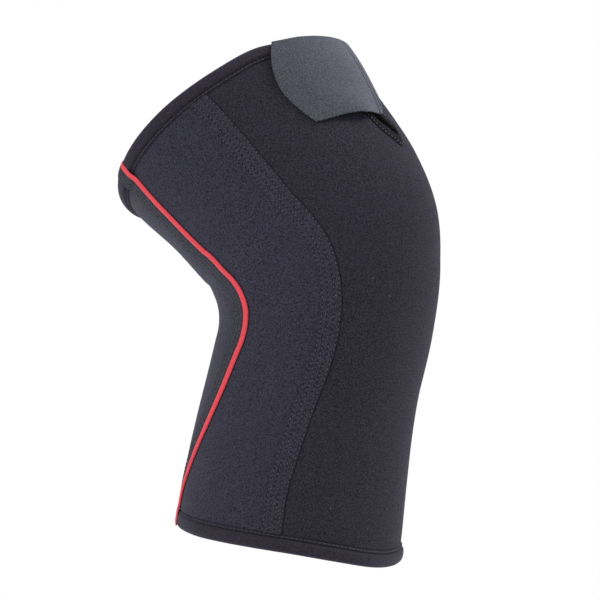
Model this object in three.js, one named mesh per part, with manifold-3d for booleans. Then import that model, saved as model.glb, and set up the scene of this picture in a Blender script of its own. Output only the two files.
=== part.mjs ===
// A padded knee sleeve with a front closure flap, in the shape it has on a bent leg.
// Millimetres, +Z up. +X points to the kneecap and -Y to the wearer's right.
// The origin is the centre of the knee, inside the sleeve.

import * as THREE from 'three';
import { mergeVertices } from 'three/addons/utils/BufferGeometryUtils.js';
import Module from 'manifold-3d';

const wasm = await Module();
wasm.setup();

// Sizes of the leg form, measured along the centreline and across it
const CALF_LENGTH = 154.4;
const THIGH_LENGTH = 119;
const BEND_RADIUS = 100;
const CALF_LEAN = 15;
const THIGH_LEAN = 41;
const DEPTH = 142;
const WIDTH = 118;

// The rims: how far a rim lies above the calf's end, or below the thigh's end, round the leg,
// as [angle in degrees from the kneecap, share of RIM_WAVE] rows
const RIM_WAVE = 10;
const CALF_RIM = [
  [-33, 0.41], [0, 0.37], [33, 0.41], [57, 0.37], [80, 0.16], [95, -0.06], [110, -0.26],
  [125, -0.38], [140, -0.46], [180, -0.53], [220, -0.46],
];
const THIGH_RIM = [
  [-15, 0.86], [0, 0.95], [15, 0.86], [30, 0.60], [42, 0.35], [60, 0.15], [75, -0.04],
  [90, -0.25], [110, -0.43], [130, -0.49], [180, -0.45], [230, -0.49],
];

// Sizes of the panels and their trims
const WALL = 5;
const CLEARANCE = 0.35;
const SEAM_GAP = 0.5;
const HEM_HEIGHT = 9;
const HEM_BULGE = 1.8;
const HEM_INSIDE = 0.9;
const BAND_WIDTH = 11.6;
const BAND_THICKNESS = 0.6;
const PIPING_WIDTH = 2.8;
const PIPING_HEIGHT = 1.3;
const BACK_SEAM_WIDTH = 10.2;
const BACK_SEAM_THICKNESS = 0.5;

// The hems' section, corner by corner: the way from the rim as a share of HEM_HEIGHT, then the
// height above the outer face as shares of WALL, HEM_BULGE and HEM_INSIDE
const HEM_SECTION = [
  [1.00, -0.90, 0.00, 0.0], [1.00, 0.00, 0.10, 0.0], [0.84, 0.00, 0.75, 0.0],
  [0.50, 0.00, 1.00, 0.0], [0.18, 0.00, 0.70, 0.0], [0.00, -0.16, 0.00, 0.0],
  [0.00, -0.62, 0.00, 0.0], [0.20, -1.00, 0.00, -0.8], [0.60, -1.00, 0.00, -1.0],
];

// The trims over the hems: where they climb the hem and where they round off at the rim, in
// shares of HEM_HEIGHT from the rim, and how far they fall there, as a share of HEM_BULGE
const TRIM_CLIMB = { from: 1.45, to: 0.85 };
const TRIM_ROUNDING = { from: 0.26, to: 0.04, fall: 0.55 };
const TRIM_INSET = 0.04;

// The piping's section: the height of its sides as a share of its top, and its roundness
const PIPING_SIDE = 0.35;
const PIPING_ROUNDNESS = 0.7;

// Sizes of the front slit, its binding and the flap that closes it
const SLIT_LENGTH = 66.5;
const SLIT_HALF_WIDTH = 14;
const BINDING_WIDTH = 6.8;
const BINDING_THICKNESS = 0.6;
const BINDING_TO_HEM = 1.75;
const FLAP_THICKNESS = 1.4;
const FLAP_LIFT = 3.5;
const FLAP_EDGE_INSET = 1;

// The flap's underside: the share of its width where it comes down from the binding to the panel,
// the hem heights below the rim where it climbs the hem, and where its lower edge arches up
const FLAP_STEP_DOWN = { from: 0.72, to: 0.90 };
const FLAP_CLIMB = { from: 4.5, to: 1.1 };
const FLAP_ARCH = { from: 0.04, to: 0.82, up: 0.42 };

// How finely the surfaces are divided: columns across, rows along and steps round the leg
const FRONT_COLUMNS = 18;
const SIDE_COLUMNS = 8;
const BACK_COLUMNS = 14;
const PANEL_ROWS = 26;
const BAND_COLUMNS = 3;
const TRIM_ROWS = 56;
const HEM_STEPS = 56;
const SLIT_ROWS = 48;
const BINDING_ROWS = 44;
const FLAP_DIVISIONS = 13;

// How often a place's way and angle, which depend on each other, are worked out in turn
const PLACING_PASSES = 4;

// Sections along the leg: -1 is the calf rim, 0 the knee and 1 the thigh rim.
// Front and back are shares of DEPTH, half is a share of WIDTH, and square bulges the corners.
const SECTIONS = [
  { along: -1.10, front: 0.466, back: 0.462, half: 0.52, square: 2.10 },
  { along: -0.98, front: 0.460, back: 0.474, half: 0.52, square: 2.10 },
  { along: -0.86, front: 0.441, back: 0.491, half: 0.51, square: 2.10 },
  { along: -0.68, front: 0.411, back: 0.500, half: 0.50, square: 2.10 },
  { along: -0.34, front: 0.370, back: 0.492, half: 0.49, square: 2.10 },
  { along: -0.17, front: 0.399, back: 0.483, half: 0.49, square: 2.12 },
  { along: 0.00, front: 0.467, back: 0.475, half: 0.50, square: 2.15 },
  { along: 0.15, front: 0.520, back: 0.475, half: 0.51, square: 2.15 },
  { along: 0.32, front: 0.540, back: 0.475, half: 0.52, square: 2.15 },
  { along: 0.45, front: 0.543, back: 0.486, half: 0.535, square: 2.13 },
  { along: 0.65, front: 0.558, back: 0.505, half: 0.56, square: 2.10 },
  { along: 0.92, front: 0.566, back: 0.550, half: 0.60, square: 2.05 },
  { along: 1.20, front: 0.560, back: 0.590, half: 0.63, square: 2.00 },
];

// Seam lines: the way along the leg, and the angle round it in degrees from the kneecap
const FRONT_SEAM = [
  [-1.10, 63], [-0.93, 64], [-0.75, 65], [-0.50, 60], [-0.27, 54], [-0.12, 53.2],
  [0.04, 57.5], [0.16, 63], [0.30, 68.5], [0.50, 69.5], [0.80, 70], [1.10, 71],
];
const BACK_SEAM = [
  [-1.10, 143], [-0.92, 141], [-0.80, 134], [-0.60, 123], [-0.40, 115], [-0.12, 108.2],
  [0.04, 112], [0.22, 119.5], [0.50, 124.5], [0.72, 125.4], [0.93, 122.6], [1.10, 120.5],
];

// The slit's middle line, from its closed end to the rim: the way up it as a share of
// SLIT_LENGTH, and the place to the right of the front line and the half width,
// both as shares of SLIT_HALF_WIDTH
const SLIT = [
  { way: 0.00, right: -0.20, half: 0.12 },
  { way: 0.05, right: 0.16, half: 0.16 },
  { way: 0.10, right: 0.42, half: 0.26 },
  { way: 0.17, right: 0.46, half: 0.34 },
  { way: 0.36, right: 0.46, half: 0.46 },
  { way: 0.64, right: 0.34, half: 0.68 },
  { way: 1.00, right: 0.18, half: 1.00 },
  { way: 1.20, right: 0.18, half: 1.16 },
];

// The flap's outline: its sewn side and its free side as [way up the thigh, angle] rows,
// and its lower edge as [share from the sewn side to the free side, way up the thigh] rows
const FLAP_SEWN_SIDE = [[0.38, 3], [0.55, -6.5], [0.72, -12.5], [0.92, -17], [1.10, -18.5]];
const FLAP_FREE_SIDE = [
  [0.38, 37.5], [0.48, 40.3], [0.55, 42.7], [0.63, 44.5], [0.71, 45], [0.82, 42.3], [0.89, 38.6],
  [0.95, 34.6], [1.05, 27.5],
];
const FLAP_LOWER_EDGE = [
  [0, 0.395], [0.22, 0.394], [0.36, 0.404], [0.5, 0.425], [0.68, 0.448], [0.84, 0.463], [1, 0.478],
];

// The part of the slit's line that turns round its closed end, and how far it closes there
const SLIT_END_SHARE = 0.2;
const SLIT_END_CLOSING = 0.98;

const rad = THREE.MathUtils.degToRad;
const { clamp, lerp, smoothstep } = THREE.MathUtils;
const falling = (x, { from, to }) => 1 - smoothstep(x, to, from);

// A smooth curve through [x, y] rows, level with its end rows outside them
function curve(rows) {
  const slope = rows.map((row, i) => {
    const before = rows[Math.max(i - 1, 0)];
    const after = rows[Math.min(i + 1, rows.length - 1)];
    return (after[1] - before[1]) / (after[0] - before[0]);
  });
  return (x) => {
    const at = clamp(x, rows[0][0], rows[rows.length - 1][0]);
    let i = rows.findIndex((row) => row[0] > at) - 1;
    if (i < 0) i = rows.length - 2;
    const span = rows[i + 1][0] - rows[i][0];
    const t = (at - rows[i][0]) / span;
    return (2 * t ** 3 - 3 * t ** 2 + 1) * rows[i][1] + (t ** 3 - 2 * t ** 2 + t) * span * slope[i]
      + (3 * t ** 2 - 2 * t ** 3) * rows[i + 1][1] + (t ** 3 - t ** 2) * span * slope[i + 1];
  };
}

const column = (table, from, to) => curve(table.map((row) => [row[from], row[to]]));
const frontShare = column(SECTIONS, 'along', 'front');
const backShare = column(SECTIONS, 'along', 'back');
const halfShare = column(SECTIONS, 'along', 'half');
const squareness = column(SECTIONS, 'along', 'square');
const frontSeam = curve(FRONT_SEAM);
const backSeam = curve(BACK_SEAM);

// The way along the centreline, as a share of the calf below the knee and of the thigh above it
const alongShare = (s) => (s < 0 ? s / CALF_LENGTH : s / THIGH_LENGTH);

// A point of the centreline and its tilt from +Z towards +X: an arc at the knee with straight ends
function centreline(s) {
  const halfArc = BEND_RADIUS * rad(CALF_LEAN + THIGH_LEAN) / 2;
  const middle = rad(CALF_LEAN - THIGH_LEAN) / 2;
  const onArc = clamp(s, -halfArc, halfArc);
  const tilt = middle - onArc / BEND_RADIUS;
  const rest = s - onArc;
  return {
    x: BEND_RADIUS * (Math.cos(tilt) - Math.cos(middle)) + rest * Math.sin(tilt),
    z: BEND_RADIUS * (Math.sin(middle) - Math.sin(tilt)) + rest * Math.cos(tilt),
    tilt,
  };
}

const bulge = (value, power) => Math.sign(value) * Math.abs(value) ** power;

// A point at the way s, at an angle in degrees from the kneecap round by the wearer's right,
// and at a height above the outer face
function skin(s, angle, height) {
  const along = alongShare(s);
  const power = 2 / squareness(along);
  const c = Math.cos(rad(angle));
  const depth = (c < 0 ? backShare(along) : frontShare(along)) * DEPTH + height;
  const forward = depth * bulge(c, power);
  const sideways = (halfShare(along) * WIDTH + height) * bulge(Math.sin(rad(angle)), power);
  const { x, z, tilt } = centreline(s);
  return new THREE.Vector3(x + forward * Math.cos(tilt), -sideways, z - forward * Math.sin(tilt));
}

// The angle that lies a length further round the outer face
function round(s, angle, length) {
  const step = 0.5;
  const perDegree = skin(s, angle + step, 0).distanceTo(skin(s, angle - step, 0)) / (2 * step);
  return angle + length / perDegree;
}

// The rims, as the way along the centreline at an angle, alike on the wearer's right and left
const calfWave = curve(CALF_RIM);
const thighWave = curve(THIGH_RIM);
const fromFront = (angle) => THREE.MathUtils.radToDeg(Math.acos(Math.cos(rad(angle))));
const calfRim = (angle) => RIM_WAVE * calfWave(fromFront(angle)) - CALF_LENGTH;
const thighRim = (angle) => THIGH_LENGTH - RIM_WAVE * thighWave(fromFront(angle));
const calfHemTop = (angle) => calfRim(angle) + HEM_HEIGHT;
const thighHemFoot = (angle) => thighRim(angle) - HEM_HEIGHT;

// A geometry from corner points and triangles, turned to face out
function solid(points, triangles) {
  const volume = triangles.reduce((sum, [a, b, c]) => (
    sum + points[a].dot(points[b].clone().cross(points[c]))), 0);
  const facing = volume < 0 ? triangles.map(([a, b, c]) => [a, c, b]) : triangles;
  const geometry = new THREE.BufferGeometry().setFromPoints(points);
  geometry.setIndex(facing.flat());
  geometry.computeVertexNormals();
  return geometry;
}

// A closed sheet with a thickness: outer and inner give its two faces, for a from 0 to 1
// over the columns and b from 0 to 1 over the rows
function slab(columns, rows, outer, inner) {
  const points = [];
  for (const face of [outer, inner]) {
    for (let j = 0; j <= rows; j += 1) {
      for (let i = 0; i <= columns; i += 1) points.push(face(i / columns, j / rows));
    }
  }
  const faceSize = (columns + 1) * (rows + 1);
  const id = (i, j, side) => side * faceSize + j * (columns + 1) + i;
  const triangles = [];
  const quad = (a, b, c, d) => triangles.push([a, b, c], [a, c, d]);
  for (let j = 0; j < rows; j += 1) {
    for (let i = 0; i < columns; i += 1) {
      quad(id(i, j, 0), id(i + 1, j, 0), id(i + 1, j + 1, 0), id(i, j + 1, 0));
      quad(id(i, j, 1), id(i, j + 1, 1), id(i + 1, j + 1, 1), id(i + 1, j, 1));
    }
    quad(id(0, j, 0), id(0, j + 1, 0), id(0, j + 1, 1), id(0, j, 1));
    quad(id(columns, j, 0), id(columns, j, 1), id(columns, j + 1, 1), id(columns, j + 1, 0));
  }
  for (let i = 0; i < columns; i += 1) {
    quad(id(i, 0, 0), id(i, 0, 1), id(i + 1, 0, 1), id(i + 1, 0, 0));
    quad(id(i, rows, 0), id(i + 1, rows, 0), id(i + 1, rows, 1), id(i, rows, 1));
  }
  return solid(points, triangles);
}

// A closed ring round the leg: profile(angle) gives the corners of its section
function ring(steps, profile) {
  const sections = Array.from({ length: steps }, (_, k) => profile(360 * k / steps));
  const corners = sections[0].length;
  const triangles = [];
  for (let k = 0; k < steps; k += 1) {
    for (let i = 0; i < corners; i += 1) {
      const a = k * corners + i;
      const b = k * corners + (i + 1) % corners;
      const c = ((k + 1) % steps) * corners + (i + 1) % corners;
      const d = ((k + 1) % steps) * corners + i;
      triangles.push([a, b, c], [a, c, d]);
    }
  }
  return solid(sections.flat(), triangles);
}

// A strip of the leg between two sides, from one hem to the other. The sides are angles that
// depend on the way along, the ends are ways that depend on the angle, and each face has a
// height that may depend on the place.
function strip({ columns, rows, from, to, start, end, outer, inner }) {
  const place = (a, b) => {
    let s = lerp(-CALF_LENGTH, THIGH_LENGTH, b);
    let angle = 0;
    for (let pass = 0; pass < PLACING_PASSES; pass += 1) {
      angle = lerp(from(s), to(s), a);
      s = lerp(start(angle), end(angle), b);
    }
    return [s, angle];
  };
  const face = (height) => (a, b) => {
    const [s, angle] = place(a, b);
    return skin(s, angle, height(a, s, angle));
  };
  return slab(columns, rows, face(outer), face(inner));
}

// The same shape on the wearer's left
function mirrored(geometry) {
  const copy = geometry.clone();
  copy.scale(1, -1, 1);
  const index = copy.getIndex();
  for (let i = 0; i < index.count; i += 3) {
    const second = index.getX(i + 1);
    index.setX(i + 1, index.getX(i + 2));
    index.setX(i + 2, second);
  }
  copy.computeVertexNormals();
  return copy;
}

function toManifold(geometry) {
  const bare = geometry.clone();
  bare.deleteAttribute('normal');
  const merged = mergeVertices(bare);
  return new wasm.Manifold(new wasm.Mesh({
    numProp: 3,
    vertProperties: new Float32Array(merged.attributes.position.array),
    triVerts: new Uint32Array(merged.getIndex().array),
  }));
}

function cut(geometry, cutter) {
  const mesh = toManifold(geometry).subtract(toManifold(cutter)).getMesh();
  const result = new THREE.BufferGeometry();
  result.setAttribute('position', new THREE.BufferAttribute(mesh.vertProperties, 3));
  result.setIndex(new THREE.BufferAttribute(mesh.triVerts, 1));
  result.computeVertexNormals();
  return result;
}

// Panels: the wall of the sleeve, with a narrow gap at each seam and hem
function panel(columns, from, to) {
  return strip({
    columns,
    rows: PANEL_ROWS,
    from: (s) => round(s, from(s), SEAM_GAP / 2),
    to: (s) => round(s, to(s), -SEAM_GAP / 2),
    start: (angle) => calfHemTop(angle) + CLEARANCE,
    end: (angle) => thighHemFoot(angle) - CLEARANCE,
    outer: () => 0,
    inner: () => -WALL,
  });
}

const frontEdge = (s) => frontSeam(alongShare(s));
const backEdge = (s) => backSeam(alongShare(s));

// The slit: a middle line with a half width on each side and a round closed end, laid flat
// with x to the wearer's right of the front line and s along the leg
const slitWay = (share) => thighRim(0) - SLIT_LENGTH * (1 - share);
const slitRight = column(SLIT, 'way', 'right');
const slitHalf = column(SLIT, 'way', 'half');

function slitLip(t, side, offset) {
  const share = Math.max(t - SLIT_END_SHARE, 0) / (1 - SLIT_END_SHARE) * SLIT[SLIT.length - 1].way;
  const step = 0.004;
  const slope = (slitRight(share + step) - slitRight(share)) * SLIT_HALF_WIDTH / (SLIT_LENGTH * step);
  const along = new THREE.Vector2(slope, 1).normalize();
  const across = new THREE.Vector2(along.y, -along.x).multiplyScalar(side);
  const turn = rad(90) * Math.max(1 - t / SLIT_END_SHARE, 0) * SLIT_END_CLOSING;
  const reach = slitHalf(share) * SLIT_HALF_WIDTH + offset;
  return new THREE.Vector2(slitRight(share) * SLIT_HALF_WIDTH, slitWay(share))
    .addScaledVector(across, reach * Math.cos(turn))
    .addScaledVector(along, -reach * Math.sin(turn));
}

const onFront = ({ x, y }, height) => skin(y, round(y, 0, x), height);

function slitCutter() {
  const reach = WALL + HEM_INSIDE + HEM_BULGE;
  const face = (height) => (a, b) => onFront(
    slitLip(b, -1, 0).lerp(slitLip(b, 1, 0), a), height);
  return slab(2, SLIT_ROWS, face(reach), face(-reach));
}

function frontPanel() {
  return cut(panel(FRONT_COLUMNS, (s) => -frontEdge(s), frontEdge), slitCutter());
}

const sidePanel = () => panel(SIDE_COLUMNS, frontEdge, backEdge);
const backPanel = () => panel(BACK_COLUMNS, backEdge, (s) => 360 - backEdge(s));

// Hems: a folded edge with a round outer face, standing a little proud on both sides
function hem(rimAt, inward) {
  return ring(HEM_STEPS, (angle) => HEM_SECTION.map(([way, wall, bulged, inside]) => (
    skin(rimAt(angle) + inward * way * HEM_HEIGHT, angle,
      wall * WALL + bulged * HEM_BULGE + inside * HEM_INSIDE))));
}

const calfHem = () => hem(calfRim, 1);
const thighHem = () => cut(hem(thighRim, -1), slitCutter());

// The height at which a trim lies: on the panel, and over both hems' round faces
function seat(s, angle) {
  const fromEnd = Math.min(s - calfRim(angle), thighRim(angle) - s) / HEM_HEIGHT;
  const onHem = falling(fromEnd, TRIM_CLIMB);
  const roundedEnd = TRIM_ROUNDING.fall * falling(fromEnd, TRIM_ROUNDING);
  return CLEARANCE + HEM_BULGE * (onHem - roundedEnd);
}

// Wide cover-stitched band, just behind the front seam and between the hems
function seamBand() {
  return strip({
    columns: BAND_COLUMNS,
    rows: PANEL_ROWS,
    from: (s) => round(s, frontEdge(s), SEAM_GAP),
    to: (s) => round(s, frontEdge(s), SEAM_GAP + BAND_WIDTH),
    start: (angle) => calfHemTop(angle) + CLEARANCE,
    end: (angle) => thighHemFoot(angle) - CLEARANCE,
    outer: () => CLEARANCE + BAND_THICKNESS,
    inner: () => CLEARANCE,
  });
}

// Trims that run over both hems to the rims
function fullStrip(columns, left, right, thickness) {
  return strip({
    columns,
    rows: TRIM_ROWS,
    from: (s) => round(s, backEdge(s), left),
    to: (s) => round(s, backEdge(s), right),
    start: (angle) => calfRim(angle) + HEM_HEIGHT * TRIM_INSET,
    end: (angle) => thighRim(angle) - HEM_HEIGHT * TRIM_INSET,
    outer: (a, s, angle) => seat(s, angle) + thickness(a),
    inner: (a, s, angle) => seat(s, angle),
  });
}

const piping = () => fullStrip(BAND_COLUMNS, -PIPING_WIDTH / 2, PIPING_WIDTH / 2,
  (a) => PIPING_HEIGHT * lerp(PIPING_SIDE, 1, Math.sin(Math.PI * a) ** PIPING_ROUNDNESS));
const backSeamBand = () => fullStrip(BAND_COLUMNS, PIPING_WIDTH / 2 + CLEARANCE,
  PIPING_WIDTH / 2 + CLEARANCE + BACK_SEAM_WIDTH, () => BACK_SEAM_THICKNESS);

// Binding round the slit, from below the thigh hem down one lip and up the other
function slitBinding() {
  const top = (thighHemFoot(0) - BINDING_TO_HEM - slitWay(0)) / SLIT_LENGTH;
  const reach = SLIT_END_SHARE + top / SLIT[SLIT.length - 1].way * (1 - SLIT_END_SHARE);
  const face = (height) => (a, b) => {
    const t = (2 * b - 1) * reach;
    return onFront(slitLip(Math.abs(t), t < 0 ? -1 : 1, lerp(CLEARANCE, BINDING_WIDTH, a)), height);
  };
  return slab(1, BINDING_ROWS, face(CLEARANCE + BINDING_THICKNESS), face(CLEARANCE));
}

// Closure flap: sewn down on the far side of the slit, laid over it and over the thigh hem,
// with the lower edge lifted off where it bridges the slit
function closureFlap() {
  const sewnSide = curve(FLAP_SEWN_SIDE);
  const freeSide = curve(FLAP_FREE_SIDE);
  const lowerEdge = curve(FLAP_LOWER_EDGE);
  const overBinding = 2 * CLEARANCE + BINDING_THICKNESS;
  const underside = (a, b, s, angle) => {
    const steppedDown = smoothstep(a, FLAP_STEP_DOWN.from, FLAP_STEP_DOWN.to);
    const overHem = falling((thighRim(angle) - s) / HEM_HEIGHT, FLAP_CLIMB);
    const acrossArch = clamp((a - FLAP_ARCH.from) / (FLAP_ARCH.to - FLAP_ARCH.from), 0, 1);
    const arch = Math.sin(Math.PI * acrossArch) ** 2 * (1 - smoothstep(b, 0, FLAP_ARCH.up));
    return lerp(overBinding, CLEARANCE, steppedDown) + HEM_BULGE * overHem + FLAP_LIFT * arch;
  };
  const face = (extra) => (a, b) => {
    let s = lerp(lowerEdge(a) * THIGH_LENGTH, THIGH_LENGTH, b);
    let angle = 0;
    for (let pass = 0; pass < PLACING_PASSES; pass += 1) {
      angle = lerp(sewnSide(alongShare(s)), freeSide(alongShare(s)), a);
      s = lerp(lowerEdge(a) * THIGH_LENGTH, thighRim(angle) - FLAP_EDGE_INSET, b);
    }
    return skin(s, angle, underside(a, b, s, angle) + extra);
  };
  return slab(FLAP_DIVISIONS, FLAP_DIVISIONS, face(FLAP_THICKNESS), face(0));
}

const fabric = (color, roughness) => new THREE.MeshStandardMaterial({ color, roughness, metalness: 0 });
const stretchFabric = fabric(0x2e2c37, 0.85);
const sideFabric = fabric(0x373643, 0.85);
const backFabric = fabric(0x3c3b48, 0.88);
const hemFabric = fabric(0x2a2832, 0.85);
const seamTape = fabric(0x34323d, 0.9);
const threadSeam = fabric(0x2f3036, 0.9);
const redCord = fabric(0xcd3c48, 0.6);
const flapFabric = fabric(0x5c5d68, 0.8);

const sleeve = new THREE.Group();

function add(name, geometry, material) {
  const mesh = new THREE.Mesh(geometry, material);
  mesh.name = name;
  sleeve.add(mesh);
}

function addPair(name, geometry, material) {
  add(`${name}_right`, geometry, material);
  add(`${name}_left`, mirrored(geometry), material);
}

add('front_panel', frontPanel(), stretchFabric);
add('back_panel', backPanel(), backFabric);
addPair('side_panel', sidePanel(), sideFabric);
add('thigh_hem', thighHem(), hemFabric);
add('calf_hem', calfHem(), hemFabric);
addPair('seam_band', seamBand(), seamTape);
addPair('back_seam', backSeamBand(), threadSeam);
addPair('piping', piping(), redCord);
add('slit_binding', slitBinding(), seamTape);
add('closure_flap', closureFlap(), flapFabric);

export default sleeve;
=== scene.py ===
"""Padded knee sleeve with red piping and a grey closure flap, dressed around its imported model.

Shapes are worked out in millimetres on the bent form that the solids follow, and go into the
meshes in metres. A place on the sleeve is given by the way s along its centreline, zero at the
knee and positive up the thigh, and by an angle round it in degrees, zero at the kneecap and
positive towards the wearer's right.
"""

from __future__ import annotations

import logging
import math
from dataclasses import dataclass, field, replace
from enum import Enum
from functools import cached_property
from typing import Callable, Sequence

import bmesh
import bpy
import numpy as np
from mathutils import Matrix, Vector

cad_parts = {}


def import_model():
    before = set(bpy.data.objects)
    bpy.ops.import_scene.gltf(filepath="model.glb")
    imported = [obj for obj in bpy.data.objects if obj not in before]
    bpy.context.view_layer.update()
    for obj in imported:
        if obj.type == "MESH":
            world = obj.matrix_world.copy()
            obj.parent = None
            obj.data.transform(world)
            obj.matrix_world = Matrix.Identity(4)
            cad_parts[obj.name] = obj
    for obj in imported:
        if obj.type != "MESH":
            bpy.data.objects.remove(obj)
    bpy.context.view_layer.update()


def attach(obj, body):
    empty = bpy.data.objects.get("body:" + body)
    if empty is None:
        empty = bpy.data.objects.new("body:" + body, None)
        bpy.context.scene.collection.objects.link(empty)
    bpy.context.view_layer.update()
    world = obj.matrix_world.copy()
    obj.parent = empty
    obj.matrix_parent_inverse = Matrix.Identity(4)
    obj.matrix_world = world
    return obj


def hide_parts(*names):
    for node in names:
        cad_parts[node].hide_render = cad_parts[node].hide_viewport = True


LOG = logging.getLogger("knee_sleeve")
MM = 0.001
UV_LAYER = "Surface"
# the name of the point attribute of painted shade, which darkens a material's colour in grooves,
# gaps, needle holes and at edges
SHADE = "groove"
BODY = "root"
# rounds in which a grid's sides and ends settle on each other
PASSES = 6
# rows of points beside an edge that rolls in, in millimetres from it
EDGE_ROWS = (0.0, 0.1, 0.25, 0.45, 0.75, 1.1, 1.4, 1.65, 1.9, 2.3, 2.9)
# a distance in millimetres from which an edge is no longer felt
FAR = 1e3

Array = np.ndarray
Rows = tuple[tuple[float, ...], ...]
Along = Callable[[Array], Array]


class Side(Enum):
    """The wearer's right or left half of a mirrored pair."""

    RIGHT = "right"
    LEFT = "left"


class Weave(Enum):
    """The ways in which a fabric's threads lie."""

    JERSEY = "jersey"
    TWILL = "twill"
    RIB = "rib"


def lerp(start: Array, end: Array, share: Array) -> Array:
    """Gives the value that lies a share of the way from start to end."""
    return start + (end - start) * share


def smoothstep(value: Array, low: float, high: float) -> Array:
    """Rises smoothly from 0 at low to 1 at high."""
    t = np.clip((value - low) / (high - low), 0, 1)
    return t * t * (3 - 2 * t)


def falling(value: Array, start: float, stop: float) -> Array:
    """Rises smoothly from 0 at start to 1 at the lower value stop."""
    return 1 - smoothstep(value, stop, start)


def bell(distance: Array, width: float) -> Array:
    """A smooth bump of height 1 that dies away over a width."""
    return np.exp(-((distance / width) ** 2))


def unit(vectors: Array) -> Array:
    """Scales each vector of an array to length 1."""
    return vectors / np.linalg.norm(vectors, axis=-1, keepdims=True)


class Curve:
    """A smooth curve through (x, y) rows, level outside them: cubics with central slopes."""

    def __init__(self, rows: Sequence[Sequence[float]]) -> None:
        """Keeps the rows and works out the slope at each from its two neighbours.

        Args:
            rows: (x, y) pairs with x rising.
        """
        self.x, self.y = np.array(rows, float).T
        order = np.arange(len(self.x))
        before = np.maximum(order - 1, 0)
        after = np.minimum(order + 1, len(order) - 1)
        self.slope = (self.y[after] - self.y[before]) / (self.x[after] - self.x[before])

    def __call__(self, at: Array) -> Array:
        """Gives the curve's y for each x: a cubic between two rows, from their heights and slopes.

        Args:
            at: x values, held to the range of the rows.

        Returns:
            The y values.
        """
        at = np.clip(at, self.x[0], self.x[-1])
        i = np.clip(np.searchsorted(self.x, at, side="right") - 1, 0, len(self.x) - 2)
        span = self.x[i + 1] - self.x[i]
        t = (at - self.x[i]) / span
        return (
            (2 * t**3 - 3 * t**2 + 1) * self.y[i]
            + (t**3 - 2 * t**2 + t) * span * self.slope[i]
            + (3 * t**2 - 2 * t**3) * self.y[i + 1]
            + (t**3 - t**2) * span * self.slope[i + 1]
        )


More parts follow.
